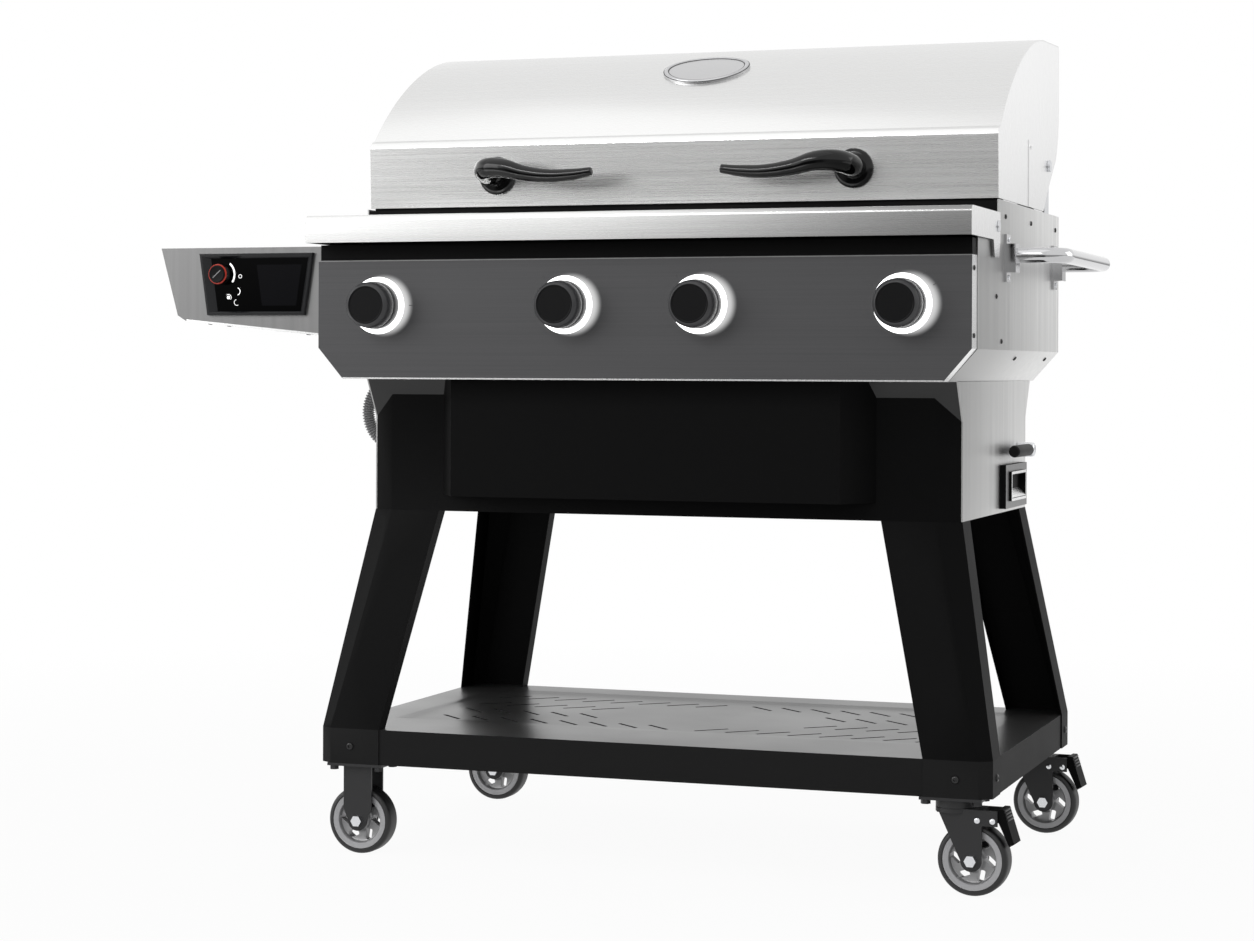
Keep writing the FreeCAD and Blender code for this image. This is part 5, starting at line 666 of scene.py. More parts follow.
def add_piece(name, mesh, body, finishes, replaced=()):
    """Puts a mesh in the scene as a piece of the grill that rides on a body."""
    shape_edges(mesh)
    if not mesh.materials:
        for finish in finishes:
            mesh.materials.append(FINISHES[finish])
    piece = linked(name, mesh)
    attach(piece, body)
    if replaced:
        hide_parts(*replaced)
    return piece


def add_shells(name, shells, body, finishes, replaced=()):
    """Puts several bmeshes in the scene as one piece."""
    return add_piece(name, mesh_of(shells, name), body, finishes, replaced)


def plain_mesh(piece):
    """The piece's mesh with its modifiers applied."""
    bpy.context.view_layer.update()
    graph = bpy.context.evaluated_depsgraph_get()
    mesh = bpy.data.meshes.new_from_object(piece.evaluated_get(graph))
    piece.modifiers.clear()
    return mesh


def merged_copy(node):
    """A copy of a solid's mesh with its loose triangles joined."""
    shell = bmesh.new()
    shell.from_mesh(frame["nodes"][node].data)
    bmesh.ops.remove_doubles(shell, verts=shell.verts, dist=MERGE_DISTANCE)
    for layer in list(shell.loops.layers.float_vector.values()):
        shell.loops.layers.float_vector.remove(layer)
    return shell


def dressed_copy(node, finish_index):
    """A copy of a solid's mesh with the finish of each face given by a rule."""
    shell = merged_copy(node)
    shell.normal_update()
    for face in shell.faces:
        face.material_index = finish_index(face)
    mesh = bpy.data.meshes.new(node + "_dressed")
    shell.to_mesh(mesh)
    shell.free()
    return mesh


def islands(shell):
    """Lists of the faces that hang together."""
    shell.faces.ensure_lookup_table()
    found = []
    seen = set()
    for face in shell.faces:
        if face.index in seen:
            continue
        stack = [face]
        seen.add(face.index)
        group = []
        while stack:
            here = stack.pop()
            group.append(here)
            for edge in here.edges:
                for other in edge.link_faces:
                    if other.index not in seen:
                        seen.add(other.index)
                        stack.append(other)
        found.append(group)
    return found


def seats_of(node):
    """The place, the outward direction and the radius of each small turned head in a node."""
    shell = merged_copy(node)
    shell.faces.index_update()
    seats = []
    for group in islands(shell):
        base = None
        for face in group:
            alike = [other for other in group if other.normal.dot(face.normal) > 0.999]
            area = sum(other.calc_area() for other in alike)
            if base is None or area > base[0]:
                base = (area, alike)
        corners = [vert.co for face in base[1] for vert in face.verts]
        low = Vector([min(corner[axis] for corner in corners) for axis in range(3)])
        high = Vector([max(corner[axis] for corner in corners) for axis in range(3)])
        middle = (low + high) / 2
        radius = max((corner - middle).length for corner in corners)
        seats.append((middle, -base[1][0].normal, radius))
    shell.free()
    return seats


# Geometry nodes

def scatter_tree():
    """Stands one small shape on every point, along the point's direction and as large as its size."""
    tree = bpy.data.node_groups.get("small_shapes_on_points")
    if tree:
        return tree
    tree = bpy.data.node_groups.new("small_shapes_on_points", "GeometryNodeTree")
    for label, kind in (("Points", "NodeSocketGeometry"), ("Shape", "NodeSocketObject"),
                        ("Finish", "NodeSocketMaterial"), ("Scale", "NodeSocketFloat")):
        tree.interface.new_socket(label, in_out="INPUT", socket_type=kind)
    tree.interface.new_socket("Shapes", in_out="OUTPUT", socket_type="NodeSocketGeometry")
    sketch = Sketch(tree)
    start = sketch.add("NodeGroupInput")
    shape = sketch.add("GeometryNodeObjectInfo", {"Object": start.outputs["Shape"]})
    facing = sketch.add("GeometryNodeInputNamedAttribute", {"Name": "facing"}, data_type="FLOAT_VECTOR")
    size = sketch.add("GeometryNodeInputNamedAttribute", {"Name": "size"}, data_type="FLOAT")
    scale = sketch.math("MULTIPLY", size.outputs[0], start.outputs["Scale"])
    turn = sketch.add("FunctionNodeAlignRotationToVector", {"Vector": facing.outputs[0]}, axis="Z")
    stood = sketch.add("GeometryNodeInstanceOnPoints", {
        "Points": start.outputs["Points"], "Instance": shape.outputs["Geometry"],
        "Rotation": turn.outputs[0], "Scale": scale})
    real = sketch.add("GeometryNodeRealizeInstances", {"Geometry": stood.outputs[0]})
    values = {"Geometry": real.outputs[0], "Material": start.outputs["Finish"]}
    dressed = sketch.add("GeometryNodeSetMaterial", values)
    sketch.add("NodeGroupOutput", {"Shapes": dressed.outputs[0]})
    return tree


def input_key(tree, label):
    for item in tree.interface.items_tree:
        if item.item_type == "SOCKET" and item.in_out == "INPUT" and item.name == label:
            return item.identifier
    raise RuntimeError("the node tree has no input named " + label)


def scattered_mesh(name, shape, seats, finish, scale=1.0):
    """A plain mesh of one small shape on every seat of (place, direction, size)."""
    points = bpy.data.meshes.new(name + "_points")
    points.from_pydata([seat[0] for seat in seats], [], [])
    points.attributes.new("facing", "FLOAT_VECTOR", "POINT")
    points.attributes.new("size", "FLOAT", "POINT")
    for index, (place, direction, radius) in enumerate(seats):
        points.attributes["facing"].data[index].vector = direction
        points.attributes["size"].data[index].value = radius
    shape_mesh = bpy.data.meshes.new(name + "_shape")
    shape.to_mesh(shape_mesh)
    shape.free()
    model = linked(name + "_shape", shape_mesh)
    holder = linked(name + "_points", points)
    tree = scatter_tree()
    modifier = holder.modifiers.new("small shapes", "NODES")
    modifier.node_group = tree
    modifier[input_key(tree, "Shape")] = model
    modifier[input_key(tree, "Finish")] = FINISHES[finish]
    modifier[input_key(tree, "Scale")] = scale
    mesh = plain_mesh(holder)
    bpy.data.objects.remove(holder)
    bpy.data.objects.remove(model)
    return mesh


def small_bar(width, length):
    """A bar along Z with softened edges, in metres."""
    bar = block(width, width, length)
    bmesh.ops.bevel(bar, geom=bar.edges[:], offset=width * 0.2, segments=2, affect="EDGES", profile=0.5)
    return bar


def screw_head():
    """A round head of radius 1 with a six-sided socket."""
    steps = 24
    rings = []
    for radius, height in SCREW_HEAD_FORM:
        rings.append([(radius * x, radius * y, height) for x, y in circle(steps)])
    for height in SOCKET_HEIGHTS:
        ring = []
        for step in range(steps):
            angle = 2 * math.pi * step / steps
            side = angle % (math.pi / 3) - math.pi / 6
            reach = SOCKET_REACH / math.cos(side)
            ring.append((reach * math.cos(angle), reach * math.sin(angle), height))
        rings.append(ring)
    return skinned(rings, cap_start=True, cap_end=True)


# Operators

class GrillStage(bpy.types.Operator):
    """Makes the floor, the soft studio light and the camera"""
    bl_idname = "grill.stage"
    bl_label = "Stage"

    def execute(self, context):
        self.floor()
        self.world(context)
        self.lamps()
        self.camera(context)
        context.scene.view_settings.view_transform = "Standard"
        return {"FINISHED"}

    def seen_directly(self, sketch):
        """1 for what the camera sees, also in metal and through glass."""
        path = sketch.add("ShaderNodeLightPath")
        either = sketch.math("MAXIMUM", path.outputs["Is Camera Ray"], path.outputs["Is Glossy Ray"])
        return sketch.math("MAXIMUM", either, path.outputs["Is Transmission Ray"])

    def floor(self):
        half = sizes().floor_size / 2
        front = -sizes().floor_front
        mesh = bpy.data.meshes.new("studio_floor")
        corners = [(-half, front, 0), (half, front, 0), (half, half, 0), (-half, half, 0)]
        mesh.from_pydata(corners, [], [(0, 1, 2, 3)])
        finish = bpy.data.materials.new("studio_floor")
        finish.use_nodes = True
        finish.node_tree.nodes.clear()
        sketch = Sketch(finish.node_tree)
        paper = sketch.add("ShaderNodeBsdfDiffuse", {"Color": tint("floor") + (1.0,)})
        white = sketch.add("ShaderNodeEmission", {"Color": WHITE, "Strength": 1.0})
        spot = sketch.add("ShaderNodeTexCoord").outputs["Object"]
        away = sketch.add("ShaderNodeVectorMath", {0: spot}, operation="LENGTH").outputs["Value"]
        values = {"Value": away, "From Min": 1.2, "From Max": 3.0, "To Min": 0.95, "To Max": 1.0}
        fade = sketch.add("ShaderNodeMapRange", values).outputs["Result"]
        share = sketch.math("MULTIPLY", self.seen_directly(sketch), fade)
        both = sketch.add("ShaderNodeMixShader", {0: share, 1: paper.outputs[0], 2: white.outputs[0]})
        sketch.add("ShaderNodeOutputMaterial", {"Surface": both.outputs[0]})
        mesh.materials.append(finish)
        linked("studio_floor", mesh)

    def world(self, context):
        world = bpy.data.worlds.new("studio")
        world.use_nodes = True
        world.node_tree.nodes.clear()
        sketch = Sketch(world.node_tree)
        soft = sketch.add("ShaderNodeBackground", {"Color": WHITE, "Strength": SOFT_LIGHT})
        white = sketch.add("ShaderNodeBackground", {"Color": WHITE, "Strength": 1.0})
        room = sketch.add("ShaderNodeBackground", {"Color": WHITE, "Strength": self.room_light(sketch)})
        path = sketch.add("ShaderNodeLightPath")
        values = {0: path.outputs["Is Glossy Ray"], 1: soft.outputs[0], 2: room.outputs[0]}
        lit = sketch.add("ShaderNodeMixShader", values)
        direct = sketch.math("MAXIMUM", path.outputs["Is Camera Ray"], path.outputs["Is Transmission Ray"])
        both = sketch.add("ShaderNodeMixShader", {0: direct, 1: lit.outputs[0], 2: white.outputs[0]})
        sketch.add("ShaderNodeOutputWorld", {"Surface": both.outputs[0]})
        context.scene.world = world

    def room_light(self, sketch):
        """What glossy surfaces show of the studio: white above and behind, soft lights left and in front."""
        way = sketch.add("ShaderNodeSeparateXYZ", {0: sketch.add("ShaderNodeTexCoord").outputs["Generated"]})

        def slope(axis, start, end, low, high):
            return sketch.ramp(way.outputs[axis], low, high, start, end)

        left = sketch.math("MULTIPLY", slope("X", -0.44, -0.33, 1.8, 0.0), slope("Z", 0.0, 0.08, 0.2, 1.0))
        left = sketch.math("MULTIPLY", left, slope("Z", 0.25, 0.6, 1.0, 0.45))
        front = sketch.math("MAXIMUM", left, slope("Z", -0.04, 0.09, 0.06, 0.98))
        above = slope("Z", 0.2, 0.7, 0.0, 0.88)
        behind = sketch.math("MULTIPLY", slope("Y", -0.1, 0.4, 0.0, 1.0), slope("X", -0.05, 0.15, 1.0, 0.0))
        corner = sketch.math("MULTIPLY", slope("X", 0.0, 0.2, 0.0, 1.0), slope("Z", -0.02, 0.1, 0.4, 1.05))
        window = sketch.math("MULTIPLY", slope("Z", 0.3, 0.38, 0.0, 4.0), slope("Z", 0.52, 0.62, 1.0, 0.0))
        window = sketch.math("MULTIPLY", window, slope("Y", -0.5, -0.2, 1.0, 0.0))
        window = sketch.math("MULTIPLY", window, slope("X", -0.1, 0.05, 1.0, 0.0))
        light = front
        for other in (above, behind, corner, window):
            light = sketch.math("MAXIMUM", light, other)
        return light

    def lamps(self):
        for name, place, width, height, power in LAMPS:
            light = bpy.data.lights.new(name, "AREA")
            light.shape = "RECTANGLE"
            light.size = width
            light.size_y = height
            light.energy = power
            lamp = linked(name, light)
            lamp.location = place
            lamp.rotation_euler = (LAMP_AIM - Vector(place)).to_track_quat("-Z", "Y").to_euler()

    def camera(self, context):
        lens = bpy.data.cameras.new("camera")
        lens.sensor_width = SENSOR_WIDTH
        lens.lens = sizes().camera_lens
        lens.shift_y = -PICTURE_DROP / IMAGE_WIDTH
        camera = linked("camera", lens)
        camera.location = CAMERA_PLACE
        level = Matrix.Rotation(CAMERA_HEADING, 3, "Z") @ Matrix.Rotation(math.pi / 2, 3, "X")
        camera.rotation_euler = (level @ Matrix.Rotation(CAMERA_ROLL, 3, "Z")).to_euler()
        context.scene.camera = camera


class GrillFinish(bpy.types.Operator):
    """Makes the finishes and gives every carried-over solid its own"""
    bl_idname = "grill.finish"
    bl_label = "Finishes"

    def execute(self, context):
        FINISHES.update(finish_table())
        for finish, nodes in NODE_FINISHES.items():
            for node in nodes:
                mesh = frame["nodes"][node].data
                mesh.materials.clear()
                mesh.materials.append(FINISHES[finish])
        return {"FINISHED"}


class GrillSheets(bpy.types.Operator):
    """Gives the sheets' edges, tops and some turned faces tones of their own: painted highlights and sheen
    where light falls on them, and painted shade on the drawer plate's edges
    """
    bl_idname = "grill.sheets"
    bl_label = "Sheet edges"

    def execute(self, context):
        for node, body, slot, finishes, rule in (
                ("control_panel", "cart", "panel_steel", ["panel_steel", "end_steel"], self.on_panel),
                ("hopper_lid", "hopper_lid", "brushed_stainless", ["hopper_steel_painted_reflection", "end_steel"],
                 self.on_hopper_lid),
                ("bottom_shelf", "cart", "black_powder", ["shelf_rim", "shelf"], self.on_shelf),
                ("lower_front", "cart", "black_powder", ["powder", "flare"], self.on_lower_front),
                ("leg_front_left", "cart", "black_powder", ["powder", "shelf_rim"], self.on_leg),
                ("leg_front_right", "cart", "black_powder", ["powder", "shelf_rim"], self.on_leg),
                ("grease_drawer", "grease_drawer", "side_stainless", ["box_steel", "strip", "end_steel"],
                 self.on_drawer)):
            add_piece(node + "_dressed", dressed_copy(node, rule), body, finishes, [node])
        self.hems()
        return {"FINISHED"}

    # The panel's top, flanges and edges get the bright end steel: painted highlights on the dark panel sheet
    def on_panel(self, face):
        return face.normal.y > -0.5

    # The hopper lid's ends get the bright end steel: a painted highlight on the lit end faces of the same
    # sheet
    def on_hopper_lid(self, face):
        return abs(face.normal.x) > 0.7

    # The shelf's top gets a lighter, glossier black than its rim: painted sheen on the same powder coat
    def on_shelf(self, face):
        return face.normal.z > 0.9

    # Faces turned down and to the front get a lighter, glossier black: painted reflection of the floor on the
    # flare
    def on_lower_front(self, face):
        return face.normal.y < -0.3 and face.normal.z < -0.3

    def on_leg(self, face):
        """The upright foot, beside the shelf's rim: painted in the rim's lighter black, as painted light on
        the lower legs.
        """
        return max(vert.co.z for vert in face.verts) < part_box("bottom_shelf")[1].z + 0.001

    def on_drawer(self, face):
        """Black edges around the drawer's plate, painted shade, and a bright frame around its pull."""
        low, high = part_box("grease_drawer")
        if face.normal.x > 0.9:
            return 2 if face.calc_center_median().x > high.x - 0.0005 else 0
        return max(vert.co.x for vert in face.verts) > high.x - 0.0055

    def hems(self):
        """The folded hems that show as thin bright lines along the panel's edges, painted highlights in the
        bright end steel, and the lip under the control box.
        """
        low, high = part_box("control_panel")
        shells = []
        for index, (half, bottom, height) in enumerate((
                (BOTTOM_HEM_HALF, low.z, BOTTOM_HEM_HEIGHT),
                (high.x - BODY_X, high.z - TOP_HEM_HEIGHT, TOP_HEM_HEIGHT))):
            place = Vector((BODY_X, PANEL_Y + 0.0002, bottom + height / 2))
            shells.append((block(2 * half, HEM_THICKNESS, height), Matrix.Translation(place), index))
        start, end = at(-716, 20, 792), at(-488, 20, 770)
        lip = block((end - start).length, HEM_THICKNESS, LIP_HEIGHT)
        lean = Matrix.Rotation(math.atan2(start.z - end.z, end.x - start.x), 4, "Y")
        shells.append((lip, Matrix.Translation((start + end) / 2 + UP * HEM_THICKNESS) @ lean, 0))
        add_shells("panel_hems", shells, "cart", ["end_steel", "box_steel"])


class GrillHose(bpy.types.Operator):
    """Makes the ribbed conduit hose along its route"""
    bl_idname = "grill.hose"
    bl_label = "Conduit hose"

    def execute(self, context):
        line = self.smooth_line()
        length = sum((after - before).length for before, after in zip(line, line[1:]))
        shell = skinned(self.rings(line, length), cap_start=True, cap_end=True)
        shells = [(shell, IN_PLACE, 0)]
        hose = add_shells("ribbed_hose", shells, "cart", ["hose"], ["conduit_hose"])
        return {"FINISHED"}

    def smooth_line(self):
        curve = bpy.data.curves.new("hose_route", "CURVE")
        curve.dimensions = "3D"
        curve.resolution_u = 40
        spline = curve.splines.new("NURBS")
        spline.points.add(len(HOSE_ROUTE) - 1)
        for point, place in zip(spline.points, HOSE_ROUTE):
            point.co = place + (1.0,)
        spline.order_u = 3
        spline.use_endpoint_u = True
        route = linked("hose_route", curve)
        mesh = plain_mesh(route)
        line = [vert.co.copy() for vert in mesh.vertices]
        bpy.data.objects.remove(route)
        bpy.data.meshes.remove(mesh)
        return line

    def rings(self, line, length):
        """Rings around the line: each rib is a smooth swelling between two grooves."""
        steps_per_rib = 8
        count = sizes().hose_ribs * steps_per_rib
        rings = []
        for step in range(count + 1):
            place, along = self.place_on(line, length * step / count)
            swell = 0.5 - 0.5 * math.cos(2 * math.pi * step / steps_per_rib)
            radius = sizes().hose_radius - sizes().hose_rib_depth * (1 - swell ** 0.6)
            across = along.cross(BACK)
            rings.append([place + (BACK * x + across * y) * radius for x, y in circle(sizes().hose_sides)])
        return rings

    def place_on(self, line, distance):
        for before, after in zip(line, line[1:]):
            run = (after - before).length
            if distance <= run or after is line[-1]:
                along = (after - before).normalized()
                return before + along * min(distance, run), along
            distance -= run


class GrillLid(bpy.types.Operator):
    """Makes the horn handles, and the rim of the bare oval badge with its painted shadow lines"""
    bl_idname = "grill.lid"
    bl_label = "Lid handles and badge"

    def execute(self, context):
        self.horns(context)
        self.badge_rim()
        return {"FINISHED"}

    def horns(self, context):
        lid = BVHTree.FromObject(frame["nodes"]["lid_skin"], context.evaluated_depsgraph_get())
        start = at(HORN_BOSS_X, 0, HORN_BOSS_HEIGHT)
        face = lid.ray_cast(start, BACK)[0]
        curve = bpy.data.curves.new("horn", "CURVE")
        curve.dimensions = "3D"
        curve.bevel_depth = MM
        curve.bevel_resolution = 10
        curve.resolution_u = 14
        curve.use_fill_caps = True
        for side in (-1, 1):
            spline = curve.splines.new("BEZIER")
            spline.bezier_points.add(len(HORN_LINE) - 1)
            for point, (inward, out, rise, radius) in zip(spline.bezier_points, HORN_LINE):
                place = face + Vector((-inward, -out, rise)) * MM
                place.x = BODY_X + side * (place.x - BODY_X)
                point.co = place
                point.radius = radius
                point.handle_left_type = "AUTO"
                point.handle_right_type = "AUTO"
        holder = linked("horn_lines", curve)
        bars = plain_mesh(holder)
        bpy.data.objects.remove(holder)
        bar_shell = bmesh.new()
        bar_shell.from_mesh(bars)
        bmesh.ops.remove_doubles(bar_shell, verts=bar_shell.verts, dist=MERGE_DISTANCE)
        bmesh.ops.recalc_face_normals(bar_shell, faces=bar_shell.faces)
        shells = [(bar_shell, IN_PLACE, 0)]
        for side in (-1, 1):
            seat = Vector((BODY_X + side * (face.x - BODY_X), face.y, face.z))
            shells.append((turned(HORN_BOSS_FORM, sizes().turn_steps), standing(seat, FRONT), 0))
        add_shells("horn_handles", shells, "main_lid", ["horn"], ["lid_handles"])

    def badge_rim(self):
        """A raised rim along the badge's border, found from the badge's own outer edge, with thin dark ovals
        beside it as painted shadow lines.
        """
        shell = merged_copy("lid_badge")
        low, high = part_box("lid_badge")
        middle = (low + high) / 2
        top = Vector((0, 0, 0))
        for face in shell.faces:
            if face.normal.z > 0.3:
                top += face.normal * face.calc_area()
        top.normalize()
        across = RIGHT
        along = top.cross(across).normalized()
        tree = BVHTree.FromBMesh(shell)
        half_length = (high.x - low.x) / 2
        half_width = max(abs((vert.co - middle).dot(along)) for vert in shell.verts)
        rim = sizes().badge_rim

        def oval(inset, radius):
            """A round ring that lies on the badge, an inset in from its border."""
            steps = 120
            reach_long = half_length - inset
            reach_wide = half_width - inset
            rings = []
            for step in range(steps):
                angle = 2 * math.pi * step / steps
                place = middle + across * reach_long * math.cos(angle) + along * reach_wide * math.sin(angle)
                hit = tree.ray_cast(place + top * 0.1, -top)[0]
                heading = along * reach_wide * math.cos(angle) - across * reach_long * math.sin(angle)
                out = heading.normalized().cross(top)
                rings.append([hit + out * radius * x + top * radius * 0.55 * y for x, y in circle(12)])
            return skinned(rings, loop=True)

        # The chrome rim, and two thin dark ovals outside and inside it: painted shadow lines along the rim
        ovals = [
            (oval(rim * 1.3, rim), IN_PLACE, 0),
            (oval(rim * 0.35, rim * 0.4), IN_PLACE, 1),
            (oval(rim * 2.3, rim * 0.45), IN_PLACE, 1),
        ]
        shell.free()
        add_shells("badge_rim", ovals, "main_lid", ["chrome", "knob"])


class GrillKnobs(bpy.types.Operator):
    """Makes the control knobs, their lit rings and the marks around them"""
    bl_idname = "grill.knobs"
    bl_label = "Knobs"

    def execute(self, context):
        seats = []
        for name in KNOBS:
            low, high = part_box(name)
            centre = (low + high) / 2
            seat = Vector((centre.x, PANEL_Y, centre.z))
            seats.append(seat)
            grip = turned(KNOB_FORM, sizes().turn_steps)
            mesh = mesh_of([(grip, standing(seat, FRONT), 0)], name + "_grip")
            self.blacken_face(mesh, seat)
            add_piece(name + "_grip", mesh, name, ["knob", "knob_face"], [name])
        rings = [(turned(LIGHT_RING_FORM, 96, closed=True), standing(seat, FRONT), 0) for seat in seats]
        add_shells("lit_rings", rings, "cart", ["light"], ["knob_light_rings"])
        self.marks(seats)
        return {"FINISHED"}

    def blacken_face(self, mesh, seat):
        """Gives the second finish to the knob's flat face."""
        for face in mesh.polygons:
            away = face.center - seat
            if Vector((away.x, 0, away.z)).length < KNOB_FACE_RADIUS and away.y < -KNOB_FACE_OUT:
                face.material_index = 1

    def marks(self, seats):
        """Short printed marks: three at the first knob, an arc of them above the others."""
        places = []
        for seat, angles in zip(seats, MARK_ANGLES):
            for angle in angles:
                out = Vector((math.cos(math.radians(angle)), 0, math.sin(math.radians(angle))))
                places.append((seat + out * MARK_DISTANCE + FRONT * (-sizes().tick_width * 0.4), out, 1.0))
        tick = small_bar(sizes().tick_width, sizes().tick_length)
        mesh = scattered_mesh("scale_marks", tick, places, "marks")
        add_piece("scale_marks", mesh, "cart", ["marks"])


class GrillDisplay(bpy.types.Operator):
    """Makes the display's frame, its glass and the dial"""
    bl_idname = "grill.display"
    bl_label = "Display and dial"

    def execute(self, context):
        self.frame_and_glass()
        self.dial()
        return {"FINISHED"}

    def outline(self, insets, depth):
        """The bezel's outline, moved in at its left, bottom, right and top, at a depth in metres."""
        low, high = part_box("control_bezel")
        lean = BEZEL_LEAN / (high.z - low.z)
        left, bottom, right, top = insets
        top_z = high.z - top
        bottom_z = low.z + bottom
        y = low.y + depth
        corners = []
        for z, x, move, side in ((top_z, low.x, left, 1), (bottom_z, low.x, left, 1),
                                 (bottom_z, high.x, -right, -1), (top_z, high.x, -right, -1)):
            corners.append(Vector((x + side * lean * (high.z - z) + move, y, z)))
        return corners

    def frame_and_glass(self):
        low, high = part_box("control_bezel")
        deep = high.y - low.y
        recess = sizes().bezel_recess
        steps = ((0, deep), (0, 0.0008), (0.0008, 0), (0.0038, 0), (0.0046, 0.0006))
        rings = [self.outline((inset,) * 4, depth) for inset, depth in steps]
        rings.append(self.outline(PANE_INSETS, recess + 0.0004))
        add_shells("display_frame", [(skinned(rings), IN_PLACE, 0)], "cart", ["bezel"],
                   ["control_bezel"])
        glass = skinned([self.outline(PANE_INSETS, depth) for depth in (recess, deep)],
                        cap_start=True, cap_end=True)
        screen = skinned([self.outline(SCREEN_INSETS, recess - lift) for lift in (0.0, 0.0003)],
                         cap_start=True, cap_end=True)
        add_shells("display_pane", [(glass, IN_PLACE, 0), (screen, IN_PLACE, 1)], "cart",
                   ["glass", "screen"], ["display_glass"])

    def dial(self):
        place, axis = joint_line("dial_turn")
        low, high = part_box("control_bezel")
        seat = Vector((place.x, low.y, place.z))
        steps = sizes().turn_steps
        shell = turned(DIAL_FORM, steps)
        for vert in shell.verts:
            if -0.002 < vert.co.z < 0.0105:
                angle = math.atan2(vert.co.y, vert.co.x)
                flute = 1 - 0.02 * (1 + math.cos(24 * angle))
                vert.co.x *= flute
                vert.co.y *= flute
        ring = turned(DIAL_RING_FORM, steps, closed=True)
        pointer = small_bar(0.0013, 0.017)
        slant = Matrix.Translation(seat + FRONT * 0.0143) @ Matrix.Rotation(math.radians(48), 4, "Y")
        shells = [
            (shell, standing(seat, FRONT), 0),
            (ring, standing(seat, FRONT), 1),
            (pointer, slant, 2),
        ]
        add_shells("dial_grip", shells, "dial_knob", ["knob_face", "dial_ring", "rim"],
                   ["dial_knob"])
        self.pane_marks(Vector((seat.x, low.y + sizes().bezel_recess - 0.0002, seat.z)))

    def pane_marks(self, middle):
        """Plain lit marks on the pane: an arc beside the dial, and small rings and arcs below it."""
        shells = []
        for x, z, inner, outer, start, end in PANE_MARKS:
            place = middle + Vector((x, 0, z))
            shells.append((self.arc(inner, outer, start, end), Matrix.Translation(place), 0))
        add_shells("display_marks", shells, "cart", ["mark_light"])

    def arc(self, inner, outer, start, end):
        """A flat lit arc on the pane, with a little thickness."""
        steps = 32
        rings = []
        for step in range(steps + 1):
            angle = math.radians(start + (end - start) * step / steps)
            ring = []
            for radius, depth in ((inner, 0.0), (outer, 0.0), (outer, 0.0003), (inner, 0.0003)):
                ring.append((radius * math.cos(angle), depth, radius * math.sin(angle)))
            rings.append(ring)
        return skinned(rings, cap_start=True, cap_end=True)


